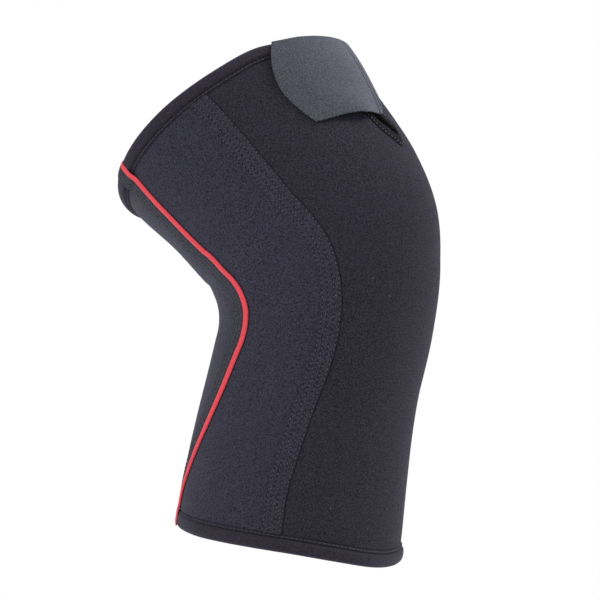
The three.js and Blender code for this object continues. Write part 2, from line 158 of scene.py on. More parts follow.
@dataclass(frozen=True)
class SleeveForm:
    """The bent form that the sleeve takes as worn, in millimetres and degrees."""

    calf_length: float = 154.4
    thigh_length: float = 119.0
    bend_radius: float = 100.0
    calf_lean: float = 15.0
    thigh_lean: float = 41.0
    depth: float = 142.0
    width: float = 118.0
    hem_height: float = 10.0
    rim_wave: float = 10.0
    hem_bulge: float = 1.8
    flat_bulge: float = 0.7
    # angles from the front between which the calf hem goes from its full bulge to the flat one
    flattening: tuple[float, float] = (95.0, 135.0)
    # hem heights from the rim where a trim starts its climb over a hem, and where it ends it
    climb: tuple[float, float] = (1.45, 0.85)
    # hem heights from the rim where a trim starts to round off, and its fall at the rim in bulges
    round_from: float = 0.26
    round_fall: float = 0.85
    # the swell on the left lip: its height, its middle's way and angle, its reach each way
    lip_swell: float = 1.3
    swell_middle: tuple[float, float] = (54.0, -12.0)
    swell_reach: tuple[float, float] = (14.0, 22.0)
    # the small step of way or angle from which slopes are taken
    step: float = 0.5
    # way along the sleeve as a share, front and back in depths, half in widths, squareness
    sections: Rows = (
        (-1.10, 0.466, 0.462, 0.52, 2.10),
        (-0.98, 0.460, 0.474, 0.52, 2.10),
        (-0.86, 0.441, 0.491, 0.51, 2.10),
        (-0.68, 0.411, 0.500, 0.50, 2.10),
        (-0.34, 0.370, 0.492, 0.49, 2.10),
        (-0.17, 0.399, 0.483, 0.49, 2.12),
        (0.00, 0.467, 0.475, 0.50, 2.15),
        (0.15, 0.520, 0.475, 0.51, 2.15),
        (0.32, 0.540, 0.475, 0.52, 2.15),
        (0.45, 0.543, 0.486, 0.535, 2.13),
        (0.65, 0.558, 0.505, 0.56, 2.10),
        (0.92, 0.566, 0.550, 0.60, 2.05),
        (1.20, 0.560, 0.590, 0.63, 2.00),
    )
    # angle from the kneecap, share of rim_wave
    calf_wave: Rows = (
        (-33, 0.44), (0, 0.30), (33, 0.44), (57, 0.40), (80, 0.16), (95, -0.06), (110, -0.26),
        (125, -0.38), (140, -0.46), (180, -0.53), (220, -0.46),
    )
    thigh_wave: Rows = (
        (-15, 0.86), (0, 0.95), (15, 0.86), (30, 0.60), (42, 0.29), (60, 0.15), (75, -0.04),
        (90, -0.25), (110, -0.43), (130, -0.49), (180, -0.45), (230, -0.49),
    )
    # way along the sleeve as a share, angle of the seam
    front_seam_rows: Rows = (
        (-1.10, 63), (-0.93, 64), (-0.75, 65), (-0.50, 60), (-0.27, 54), (-0.12, 53.2),
        (0.04, 57.5), (0.16, 63), (0.30, 68.5), (0.50, 69.5), (0.80, 70), (1.10, 71),
    )
    back_seam_rows: Rows = (
        (-1.10, 143), (-0.92, 141), (-0.80, 134), (-0.60, 123), (-0.40, 115), (-0.12, 108.2),
        (0.04, 112), (0.22, 119.5), (0.50, 124.5), (0.72, 125.4), (0.93, 123.6), (1.10, 122.0),
    )

    @cached_property
    def section_curves(self) -> list[Curve]:
        """The curves of front, back, half and squareness along the sleeve."""
        table = np.array(self.sections)
        return [Curve(table[:, [0, column]]) for column in range(1, table.shape[1])]

    @cached_property
    def seam_curves(self) -> tuple[Curve, Curve, Curve, Curve]:
        """The curves of the front seam, the back seam, the calf's rim and the thigh's rim."""
        rows = (self.front_seam_rows, self.back_seam_rows, self.calf_wave, self.thigh_wave)
        return tuple(Curve(each) for each in rows)

    def along(self, s: Array) -> Array:
        """Gives the way s as a share of the calf below the knee and of the thigh above it."""
        return np.where(s < 0, s / self.calf_length, s / self.thigh_length)

    def centreline(self, s: Array) -> tuple[Array, Array, Array]:
        """Follows the centreline: an arc at the knee with straight ends.

        Args:
            s: ways along the centreline.

        Returns:
            x, z and the tilt in radians from up towards the kneecap.
        """
        half_arc = self.bend_radius * math.radians(self.calf_lean + self.thigh_lean) / 2
        middle = math.radians(self.calf_lean - self.thigh_lean) / 2
        on_arc = np.clip(s, -half_arc, half_arc)
        tilt = middle - on_arc / self.bend_radius
        rest = s - on_arc
        x = self.bend_radius * (np.cos(tilt) - math.cos(middle)) + rest * np.sin(tilt)
        z = self.bend_radius * (math.sin(middle) - np.sin(tilt)) + rest * np.cos(tilt)
        return x, z, tilt

    def skin(self, s: Array, angle: Array, height: Array = 0.0) -> Array:
        """Gives points on or over the outer face: a superellipse across the centreline.

        A low round swell lies on the left lip, beside the slit's closed end.

        Args:
            s: ways along the sleeve.
            angle: angles round it.
            height: heights above the outer face.

        Returns:
            An array of points, with x, y and z last.
        """
        s, angle, height = np.broadcast_arrays(
            np.asarray(s, float), np.asarray(angle, float), np.asarray(height, float)
        )
        (way, turn), (along, around) = self.swell_middle, self.swell_reach
        height = height + self.lip_swell * bell(s - way, along) * bell(angle - turn, around)
        front, back, half, square = (curve(self.along(s)) for curve in self.section_curves)
        c = np.cos(np.radians(angle))
        d = np.sin(np.radians(angle))
        power = 2 / square
        reach = np.where(c < 0, back, front) * self.depth + height
        forward = reach * np.sign(c) * np.abs(c) ** power
        sideways = (half * self.width + height) * np.sign(d) * np.abs(d) ** power
        x, z, tilt = self.centreline(s)
        return np.stack(
            [x + forward * np.cos(tilt), -sideways, z - forward * np.sin(tilt)], axis=-1
        )

    def chord(self, s: Array, angle: Array) -> Array:
        """Gives the vector round the face from a step before an angle to a step after it."""
        return self.skin(s, angle + self.step) - self.skin(s, angle - self.step)

    def normal(self, s: Array, angle: Array) -> Array:
        """Gives the directions out of the face: a small step along it crossed with one round it.

        Args:
            s: ways along the sleeve.
            angle: angles round it.

        Returns:
            Unit vectors, with x, y and z last.
        """
        up = self.skin(s + self.step, angle) - self.skin(s - self.step, angle)
        return unit(np.cross(up, self.chord(s, angle)))

    def per_degree(self, s: Array, angle: Array) -> Array:
        """Gives the length of one degree round the outer face, from a short chord."""
        return np.linalg.norm(self.chord(s, angle), axis=-1) / (2 * self.step)

    def turned(self, s: Array, angle: Array, length: Array) -> Array:
        """Gives the angle that lies a length further round the outer face."""
        return angle + length / self.per_degree(s, angle)

    def front_seam(self, s: Array) -> Array:
        """Gives the front seam's angle at the way s."""
        return self.seam_curves[0](self.along(s))

    def back_seam(self, s: Array) -> Array:
        """Gives the back seam's angle at the way s."""
        return self.seam_curves[1](self.along(s))

    def calf_rim(self, angle: Array) -> Array:
        """Gives the calf rim's way at an angle, alike on the right and left."""
        return self.rim_wave * self.seam_curves[2](from_front(angle)) - self.calf_length

    def thigh_rim(self, angle: Array) -> Array:
        """Gives the thigh rim's way at an angle, alike on the right and left."""
        return self.thigh_length - self.rim_wave * self.seam_curves[3](from_front(angle))

    def calf_hem_top(self, angle: Array) -> Array:
        """Gives the way of the calf hem's upper edge."""
        return self.calf_rim(angle) + self.hem_height

    def thigh_hem_foot(self, angle: Array) -> Array:
        """Gives the way of the thigh hem's lower edge."""
        return self.thigh_rim(angle) - self.hem_height

    def calf_bulge(self, angle: Array) -> Array:
        """Gives how far the calf hem stands proud: full in front, pressed flat at the back."""
        flat = smoothstep(from_front(angle), *self.flattening)
        return lerp(self.hem_bulge, self.flat_bulge, flat)

    def from_rim(self, s: Array, angle: Array) -> Array:
        """Gives how many hem heights a place lies from the nearer rim."""
        from_end = np.minimum(s - self.calf_rim(angle), self.thigh_rim(angle) - s)
        return from_end / self.hem_height

    def on_hem(self, s: Array, angle: Array) -> Array:
        """Rises smoothly from 0 on the panels to 1 on either hem."""
        return falling(self.from_rim(s, angle), *self.climb)

    def trim_seat(self, s: Array, angle: Array) -> Array:
        """Gives the height under a trim: the panels' face and the hems' round faces.

        It is the hem's bulge, times the climb less the rounding at the rim.

        Args:
            s: ways along the sleeve.
            angle: angles round it.

        Returns:
            Heights above the outer face.
        """
        rounding = self.round_fall * falling(self.from_rim(s, angle), self.round_from, 0.0)
        bulge = np.where(s < 0, self.calf_bulge(angle), self.hem_bulge)
        return bulge * (self.on_hem(s, angle) - rounding)


def from_front(angle: Array) -> Array:
    """Folds an angle to the range from 0 at the kneecap to 180 at the back."""
    return np.degrees(np.arccos(np.clip(np.cos(np.radians(angle)), -1, 1)))


@dataclass(frozen=True)
class Slit:
    """The open slit in the front of the thigh, with a slanted closed end."""

    form: SleeveForm
    length: float = 66.5
    half_width: float = 14.0
    end_share: float = 0.2
    # way up the slit, then the middle's place to the right and the half width, in half widths
    rows: Rows = (
        (0.00, -0.20, 0.12), (0.05, 0.16, 0.16), (0.10, 0.42, 0.26), (0.17, 0.46, 0.34),
        (0.36, 0.46, 0.46), (0.64, 0.34, 0.68), (1.00, 0.18, 1.00), (1.20, 0.18, 1.16),
    )
    # the share of the length from which a lip's slope is taken, and the points along an edge
    slope_step: float = 0.004
    samples: int = 400

    def way(self, share: Array) -> Array:
        """Gives the way along the sleeve at a share of the slit's length."""
        return self.form.thigh_rim(np.zeros(1)) - self.length * (1 - share)

    def lip(self, t: Array, side: Array, offset: Array) -> tuple[Array, Array]:
        """Follows a lip from the closed end up: a half width to one side of the middle line.

        Args:
            t: shares of the lip's line, of which the first part turns round the closed end.
            side: 1 for the right lip and -1 for the left one.
            offset: lengths away from the lip, into the fabric.

        Returns:
            The places to the right of the front line, and the ways along the sleeve.
        """
        table = np.array(self.rows)
        right, half = Curve(table[:, [0, 1]]), Curve(table[:, [0, 2]])
        share = np.maximum(t - self.end_share, 0) / (1 - self.end_share) * table[-1, 0]
        step = self.slope_step
        slope = (right(share + step) - right(share)) * self.half_width / (self.length * step)
        along = unit(np.stack([slope, np.ones_like(slope)], axis=-1))
        across = np.stack([along[..., 1], -along[..., 0]], axis=-1) * np.asarray(side)[..., None]
        turn = math.radians(90) * np.maximum(1 - t / self.end_share, 0)
        reach = half(share) * self.half_width + offset
        x = right(share) * self.half_width
        x = x + across[..., 0] * reach * np.cos(turn) - along[..., 0] * reach * np.sin(turn)
        s = self.way(share)
        s = s + across[..., 1] * reach * np.cos(turn) - along[..., 1] * reach * np.sin(turn)
        return x, s

    def edge(self, side: int, s: Array) -> Array:
        """Gives a lip's angle at each way, and the closed end's below it.

        Args:
            side: 1 for the right lip and -1 for the left one.
            s: ways along the sleeve.

        Returns:
            Angles in degrees.
        """
        t = np.linspace(0, 1, self.samples)
        x, way = self.lip(t, np.full_like(t, side), np.zeros_like(t))
        way = np.maximum.accumulate(way)
        return self.form.turned(s, np.zeros_like(s), np.interp(s, way, x))

    def place(self, x: Array, s: Array, height: Array) -> Array:
        """Gives the point a length x to the right of the front line."""
        return self.form.skin(s, self.form.turned(s, np.zeros_like(s), x), height)


@dataclass
class MeshPlan:
    """One mesh before it goes into Blender: points in millimetres, faces and surface places."""

    points: Array
    quads: Array
    quad_uv: Array
    shade: Array
    triangles: Array = field(default_factory=lambda: np.zeros((0, 3), int))

    def joined(self, other: MeshPlan) -> MeshPlan:
        """Puts another plan's mesh beside this one's.

        Args:
            other: the plan to add.

        Returns:
            A plan of both meshes.
        """
        shift = len(self.points)
        return MeshPlan(
            np.concatenate([self.points, other.points]),
            np.concatenate([self.quads, other.quads + shift]),
            np.concatenate([self.quad_uv, other.quad_uv]),
            np.concatenate([self.shade, other.shade]),
            np.concatenate([self.triangles, other.triangles + shift]),
        )

    def turned_over(self) -> MeshPlan:
        """Gives this plan with the corners of each face in the opposite order."""
        return replace(
            self,
            quads=self.quads[:, ::-1],
            quad_uv=self.quad_uv[:, ::-1],
            triangles=self.triangles[:, ::-1],
        )

    def on(self, side: Side) -> MeshPlan:
        """Gives this plan for the right side, and its mirror image for the left.

        Args:
            side: the half that the piece belongs to.

        Returns:
            The plan for that side.
        """
        if side is Side.RIGHT:
            return self
        return replace(self.turned_over(), points=self.points * np.array([1, -1, 1]))

    def facing_out(self) -> MeshPlan:
        """Turns the faces of a closed mesh so that its signed volume is positive.

        Returns:
            This plan, or the same one turned over.
        """
        a, b, c, d = (self.points[self.quads[:, k]] for k in range(4))
        volume = np.einsum("ij,ij->", a, np.cross(b, c) + np.cross(c, d))
        return self if volume > 0 else self.turned_over()

    def build(self, name: str, weld: bool = False) -> bpy.types.Object:
        """Makes the Blender object, with a UV map in metres and the groove attribute of painted
        shade.

        Args:
            name: the object's name.
            weld: whether points at one place become one.

        Returns:
            The new object, smooth and linked to the scene.
        """
        mesh = bpy.data.meshes.new(name)
        loops = np.concatenate([self.quads.ravel(), self.triangles.ravel()]).astype(np.int32)
        sizes = np.repeat([4, 3], [len(self.quads), len(self.triangles)])
        starts = np.concatenate([[0], np.cumsum(sizes)[:-1]]).astype(np.int32)
        mesh.vertices.add(len(self.points))
        mesh.vertices.foreach_set("co", (self.points * MM).astype(np.float32).ravel())
        mesh.loops.add(len(loops))
        mesh.loops.foreach_set("vertex_index", loops)
        mesh.polygons.add(len(sizes))
        mesh.polygons.foreach_set("loop_start", starts)
        mesh.update(calc_edges=True)
        corner_uv = np.concatenate(
            [self.quad_uv.reshape(-1, 2), np.zeros((self.triangles.size, 2))]
        )
        layer = mesh.uv_layers.new(name=UV_LAYER)
        layer.uv.foreach_set("vector", (corner_uv * MM).astype(np.float32).ravel())
        groove = mesh.attributes.new(SHADE, "FLOAT", "POINT")
        groove.data.foreach_set("value", self.shade.astype(np.float32))
        if weld:
            weld_points(mesh)
        mesh.validate()
        mesh.shade_smooth()
        obj = bpy.data.objects.new(name, mesh)
        bpy.context.scene.collection.objects.link(obj)
        return obj


def weld_points(mesh: bpy.types.Mesh, distance: float = 0.02 * MM) -> None:
    """Joins the points of a mesh that lie at one place.

    Args:
        mesh: the mesh to change.
        distance: how near to each other two such points are, in metres.
    """
    work = bmesh.new()
    work.from_mesh(mesh)
    bmesh.ops.remove_doubles(work, verts=work.verts, dist=distance)
    work.to_mesh(mesh)
    work.free()


def grid_quads(rows: int, columns: int, ring: bool) -> tuple[Array, Array]:
    """Numbers the four corners of each cell of a grid.

    Args:
        rows: cells along.
        columns: cells across.
        ring: whether the last column of cells closes on the first points.

    Returns:
        Point numbers and surface place numbers, each with four corners a cell.
    """
    j, i = np.meshgrid(np.arange(rows), np.arange(columns), indexing="ij")
    corners = [(j, i), (j + 1, i), (j + 1, i + 1), (j, i + 1)]
    points_across = columns if ring else columns + 1
    quads = np.stack([a * points_across + b % points_across for a, b in corners], axis=-1)
    places = np.stack([a * (columns + 1) + b for a, b in corners], axis=-1)
    return quads.reshape(-1, 4), places.reshape(-1, 4)


def sheet_plan(points: Array, uv: Array, shade: Array) -> MeshPlan:
    """Makes an open sheet from a grid of points: rows along the sleeve, columns round it.

    Args:
        points: (rows, columns, 3) points.
        uv: (rows, columns, 2) lengths across and along the surface.
        shade: (rows, columns) depth of shade in grooves, from 0 to 1.

    Returns:
        The plan, with its faces pointing outwards.
    """
    rows, columns = points.shape[0] - 1, points.shape[1] - 1
    quads, places = grid_quads(rows, columns, ring=False)
    return MeshPlan(points.reshape(-1, 3), quads, uv.reshape(-1, 2)[places], shade.ravel())


def tube_plan(rings: Array, uv: Array, shade: Array, loop: bool = False) -> MeshPlan:
    """Makes a closed tube from rings of points, with a pole at each end unless it is a loop.

    Args:
        rings: (rings, corners, 3) points, the last ring the first one again in a loop.
        uv: (rings, corners + 1, 2) lengths along and across the surface.
        shade: (rings, corners) depth of shade in grooves.
        loop: whether the tube closes on itself.

    Returns:
        The plan of a closed mesh with its faces pointing out.
    """
    count, corners = rings.shape[:2]
    quads, places = grid_quads(count - 1, corners, ring=True)
    plan = MeshPlan(rings.reshape(-1, 3), quads, uv.reshape(-1, 2)[places], shade.ravel())
    if loop:
        plan.quads = plan.quads % ((count - 1) * corners)
        plan.points = plan.points[: (count - 1) * corners]
        plan.shade = plan.shade[: (count - 1) * corners]
        return plan.facing_out()
    first, last = np.arange(corners), (count - 1) * corners + np.arange(corners)
    poles = np.stack([rings[0].mean(axis=0), rings[-1].mean(axis=0)])
    start, end = np.full(corners, len(plan.points)), np.full(corners, len(plan.points) + 1)
    plan.triangles = np.concatenate(
        [
            np.stack([start, first, np.roll(first, -1)], axis=-1),
            np.stack([end, np.roll(last, -1), last], axis=-1),
        ]
    )
    plan.points = np.concatenate([plan.points, poles])
    plan.shade = np.concatenate([plan.shade, [shade[0].mean(), shade[-1].mean()]])
    return plan.facing_out()


@dataclass(frozen=True)
class Thread:
    """A sewing thread: how thick it is and how its stitches lie."""

    radius: float
    rise: float
    rings: int = 4
    corners: int = 5

    def plan(self, start: Array, end: Array, normal: Array) -> MeshPlan:
        """Lays one short stitch from each start to each end.

        Each stitch is an arch whose height is a half sine wave, with a round section that
        closes to a point in the fabric at both ends.

        Args:
            start: (n, 3) points where stitches come out.
            end: (n, 3) points where they go in.
            normal: (n, 3) unit vectors out of the fabric.

        Returns:
            The plan of all the stitches.
        """
        t = np.linspace(0, 1, self.rings + 2)[1:-1]
        turn = np.arange(self.corners) * math.tau / self.corners
        along = end - start
        side = unit(np.cross(normal, along))
        arch = np.sin(math.pi * t)
        centre = (
            start[:, None] + along[:, None] * t[:, None]
            + normal[:, None] * (self.rise * arch)[:, None]
        )
        spoke = (
            side[:, None, None] * np.cos(turn)[:, None]
            + normal[:, None, None] * np.sin(turn)[:, None]
        )
        size = self.radius * arch**0.5
        rings = centre[:, :, None] + spoke * size[:, None, None]
        points = np.concatenate(
            [rings.reshape(len(start), -1, 3), start[:, None], end[:, None]], axis=1
        )
        each = points.shape[1]
        quads, _ = grid_quads(self.rings - 1, self.corners, ring=True)
        first = np.arange(self.corners)
        last = first + (self.rings - 1) * self.corners
        caps = np.concatenate(
            [
                np.stack([np.full_like(first, each - 2), np.roll(first, -1), first], axis=-1),
                np.stack([np.full_like(first, each - 1), last, np.roll(last, -1)], axis=-1),
            ]
        )
        shift = np.arange(len(start))[:, None, None] * each
        all_quads = (quads[None, :, ::-1] + shift).reshape(-1, 4)
        all_caps = (caps[None, :, ::-1] + shift).reshape(-1, 3)
        uv = np.zeros((len(all_quads), 4, 2))
        return MeshPlan(
            points.reshape(-1, 3), all_quads, uv, np.zeros(len(start) * each), all_caps
        ).facing_out()


@dataclass(frozen=True)
class SewnLine:
    """A line of even stitches along a path on the form."""

    form: SleeveForm
    pitch: float
    length: float
    thread: Thread
    # the share of the pitch before the first stitch
    lead: float = 0.5
    # the length ahead of a stitch's middle and behind it that gives its direction
    sight: float = 0.1

    def plan(self, s: Array, angle: Array, height: Array, slant: float = 0.0) -> MeshPlan:
        """Sews stitches at even lengths along the path, each along it or slanted to it.

        Args:
            s: ways of the path's points.
            angle: angles of the path's points.
            height: heights of the path's points.
            slant: how far each stitch's ends lie to either side of the path.

        Returns:
            The plan of the stitches.
        """
        s, angle, height = np.broadcast_arrays(s, angle, height)
        line = self.form.skin(s, angle, height)
        steps = np.linalg.norm(np.diff(line, axis=0), axis=1)
        run = np.concatenate([[0], np.cumsum(steps)])
        marks = np.arange(self.lead * self.pitch, run[-1] - self.length / 2, self.pitch)
        behind, ahead = (
            np.stack([np.interp(marks + shift, run, line[:, k]) for k in range(3)], axis=-1)
            for shift in (-self.sight, self.sight)
        )
        normal = self.form.normal(np.interp(marks, run, s), np.interp(marks, run, angle))
        direction = unit(ahead - behind)
        side = np.cross(normal, direction)
        centre = (ahead + behind) / 2
        reach = direction * self.length / 2 + side * slant
        return self.thread.plan(centre - reach, centre + reach, normal)


class Shaders:
    """The shader node groups that the finishes share, each made once."""

    # loops of the jersey to a pitch, and how far they go up and down from a ridge's mean height
    LOOPS: float = 0.8
    LOOP_DEPTH: float = 0.3
    # crossing threads of the twill to a pitch, and the heights of the threads and of the ribs
    CROSSINGS: float = 2.0
    CROSSING_HEIGHT: float = 0.5
    RIB_HEIGHT: float = 1.5
    # the contrast and the shift that spread a noise over 0 to 1
    SPECKLE_SPREAD: tuple[float, float] = (3.2, -1.1)
    CLOUD_SPREAD: tuple[float, float] = (1.8, -0.4)
    # the radius of a lint speck as a share of its cell
    SPECK: float = 0.07

    def __init__(self) -> None:
        """Makes no group until a finish asks for it."""
        self.groups: dict[str, bpy.types.NodeTree] = {}

    def group(self, name: str) -> bpy.types.NodeTree:
        """Gives the group of a name, making it the first time.

        Args:
            name: a weave's value, heather or lint.

        Returns:
            The shared node group.
        """
        if name not in self.groups:
            makers = {
                Weave.JERSEY.value: self.make_jersey,
                Weave.TWILL.value: self.make_twill,
                Weave.RIB.value: self.make_rib,
                "heather": self.make_heather,
                "lint": self.make_lint,
            }
            self.groups[name] = makers[name]()
        return self.groups[name]

    @staticmethod
    def start(name: str, inputs: dict[str, float], outputs: Sequence[str]) -> NodeMaker:
        """Begins a group with a Vector input, number inputs and value outputs.

        Args:
            name: the group's name.
            inputs: the number inputs' names and defaults.
            outputs: the outputs' names.

        Returns:
            A maker for the group's nodes.
        """
        tree = bpy.data.node_groups.new(name, "ShaderNodeTree")
        tree.interface.new_socket("Vector", in_out="INPUT", socket_type="NodeSocketVector")
        for label, value in inputs.items():
            socket = tree.interface.new_socket(
                label, in_out="INPUT", socket_type="NodeSocketFloat"
            )
            socket.default_value = value
        for label in outputs:
            tree.interface.new_socket(label, in_out="OUTPUT", socket_type="NodeSocketFloat")
        return NodeMaker(tree)

    def make_jersey(self) -> bpy.types.NodeTree:
        """Knit stitches: ridges along the fabric, cut into short slanted loops.

        A ridge is the absolute sine of the place across. A loop is a sine of the place along,
        shifted by the ridge's height.

        Returns:
            The node group.
        """
        make = self.start("Jersey knit", {"Pitch": 0.0009}, ["Height"])
        inside = make.node("NodeGroupInput")
        split = make.node("ShaderNodeSeparateXYZ", Vector=inside.outputs["Vector"])
        u = make.math("DIVIDE", split.outputs["X"], inside.outputs["Pitch"])
        v = make.math("DIVIDE", split.outputs["Y"], inside.outputs["Pitch"])
        across = make.math("ABSOLUTE", make.math("SINE", make.math("MULTIPLY", u, math.pi)))
        slanted = make.math("ADD", make.math("MULTIPLY", v, math.tau * self.LOOPS), across)
        wave = make.math("SINE", slanted)
        loops = make.math("MULTIPLY_ADD", wave, self.LOOP_DEPTH, 1 - self.LOOP_DEPTH)
        height = make.math("MULTIPLY", across, loops)
        make.node("NodeGroupOutput", Height=height)
        return make.tree

    def make_twill(self) -> bpy.types.NodeTree:
        """Twill: even diagonal ribs, broken by the threads that cross them.

        A rib is a triangle wave of the two places' sum, and a thread one of the place along.

        Returns:
            The node group.
        """
        make = self.start("Twill weave", {"Pitch": 0.0010}, ["Height"])
        inside = make.node("NodeGroupInput")
        split = make.node("ShaderNodeSeparateXYZ", Vector=inside.outputs["Vector"])
        both = make.math("ADD", split.outputs["X"], split.outputs["Y"])
        rib = make.math("PINGPONG", make.math("DIVIDE", both, inside.outputs["Pitch"]), 0.5)
        cross = make.math("DIVIDE", split.outputs["Y"], inside.outputs["Pitch"])
        threads = make.math("PINGPONG", make.math("MULTIPLY", cross, self.CROSSINGS), 0.5)
        ribs = make.math("MULTIPLY", rib, self.RIB_HEIGHT)
        height = make.math("MULTIPLY_ADD", threads, self.CROSSING_HEIGHT, ribs)
        make.node("NodeGroupOutput", Height=height)
        return make.tree

    def make_rib(self) -> bpy.types.NodeTree:
        """Covering threads that lie side by side: the absolute sine of the place along.

        Returns:
            The node group.
        """
        make = self.start("Thread ribs", {"Pitch": 0.0005}, ["Height"])
        inside = make.node("NodeGroupInput")
        split = make.node("ShaderNodeSeparateXYZ", Vector=inside.outputs["Vector"])
        v = make.math("DIVIDE", split.outputs["Y"], inside.outputs["Pitch"])
        height = make.math("ABSOLUTE", make.math("SINE", make.math("MULTIPLY", v, math.pi)))
        make.node("NodeGroupOutput", Height=height)
        return make.tree

    def make_heather(self) -> bpy.types.NodeTree:
        """The speckle of mixed yarns, with slow clouds over it: a fine noise and a slow one.

        Returns:
            The node group.
        """
        make = self.start("Heather", {"Grain": 1250.0, "Clouds": 18.0}, ["Speckle", "Cloud"])
        inside = make.node("NodeGroupInput")
        fine = make.node(
            "ShaderNodeTexNoise",
            Vector=inside.outputs["Vector"], Scale=inside.outputs["Grain"],
            Detail=1.0, Roughness=0.6,
        )
        slow = make.node(
            "ShaderNodeTexNoise",
            Vector=inside.outputs["Vector"], Scale=inside.outputs["Clouds"], Detail=2.0,
        )
        speckle = make.math(
            "MULTIPLY_ADD", fine.outputs["Fac"], *self.SPECKLE_SPREAD, clamp=True
        )
        cloud = make.math("MULTIPLY_ADD", slow.outputs["Fac"], *self.CLOUD_SPREAD, clamp=True)
        make.node("NodeGroupOutput", Speckle=speckle, Cloud=cloud)
        return make.tree

    def make_lint(self) -> bpy.types.NodeTree:
        """Sparse fibre ends: the middles of a few random cells.

        Returns:
            The node group.
        """
        make = self.start("Lint", {"Cells": 190.0, "Rarity": 0.93}, ["Mask"])
        inside = make.node("NodeGroupInput")
        cells = make.node(
            "ShaderNodeTexVoronoi",
            Vector=inside.outputs["Vector"], Scale=inside.outputs["Cells"],
        )
        near = make.math("LESS_THAN", cells.outputs["Distance"], self.SPECK)
        pick = make.node("ShaderNodeSeparateColor", Color=cells.outputs["Color"])
        rare = make.math("GREATER_THAN", pick.outputs["Red"], inside.outputs["Rarity"])
        make.node("NodeGroupOutput", Mask=make.math("MULTIPLY", near, rare))
        return make.tree


class NodeMaker:
    """Adds nodes to a tree and links or sets their inputs by name."""

    def __init__(self, tree: bpy.types.NodeTree) -> None:
        """Keeps the tree that the nodes go into."""
        self.tree = tree

    def node(self, kind: str, **inputs: object) -> bpy.types.Node:
        """Adds a node and fills its inputs.

        Args:
            kind: the node's type.
            inputs: sockets to link or values to set, by input name with _ for a space.

        Returns:
            The new node.
        """
        made = self.tree.nodes.new(kind)
        for label, value in inputs.items():
            self.fill(made.inputs[label.replace("_", " ")], value)
        return made

    def fill(self, socket: bpy.types.NodeSocket, value: object) -> None:
        """Links a socket to an input, or sets the input to a value.

        Args:
            socket: the input.
            value: the socket to link, or the value to set.
        """
        if isinstance(value, bpy.types.NodeSocket):
            self.tree.links.new(value, socket)
        else:
            socket.default_value = value

    def math(self, operation: str, *values: object, clamp: bool = False) -> bpy.types.NodeSocket:
        """Adds a Math node and gives its result.

        Args:
            operation: the node's operation.
            values: sockets to link or numbers to set, in the order of its inputs.
            clamp: whether the result is held to 0 to 1.

        Returns:
            The result's socket.
        """
        made = self.tree.nodes.new("ShaderNodeMath")
        made.operation = operation
        made.use_clamp = clamp
        for socket, value in zip(made.inputs, values):
            self.fill(socket, value)
        return made.outputs[0]

    def mix(self, share: object, first: object, second: object) -> bpy.types.NodeSocket:
        """Adds a Mix node for colours and gives its result.

        Args:
            share: how much of the second colour shows.
            first: the first colour.
            second: the second colour.

        Returns:
            The result's socket.
        """
        made = self.tree.nodes.new("ShaderNodeMix")
        made.data_type = "RGBA"
        self.fill(made.inputs["Factor"], share)
        colours = [socket for socket in made.inputs if socket.type == "RGBA"]
        self.fill(colours[0], first)
        self.fill(colours[1], second)
        return next(socket for socket in made.outputs if socket.type == "RGBA")

    def shared(self, tree: bpy.types.NodeTree, **inputs: object) -> bpy.types.Node:
        """Places a shared group and fills its inputs.

        Args:
            tree: the group.
            inputs: sockets to link or values to set, by input name.

        Returns:
            The group's node.
        """
        made = self.tree.nodes.new("ShaderNodeGroup")
        made.node_tree = tree
        for label, value in inputs.items():
            self.fill(made.inputs[label], value)
        return made


def linear(colour: tuple[float, float, float], gain: float = 1.0) -> tuple[float, ...]:
    """Turns a display colour of 0 to 255 into scene light, times a gain.

    Each channel follows the display standard: a straight line near black, then a power of 2.4.

    Args:
        colour: red, green and blue.
        gain: what the light is multiplied by.

    Returns:
        Red, green, blue and an alpha of 1.
    """
    c = np.array(colour) / 255
    light = np.where(c <= 0.04045, c / 12.92, ((c + 0.055) / 1.055) ** 2.4) * gain
    return (*(float(x) for x in light), 1.0)


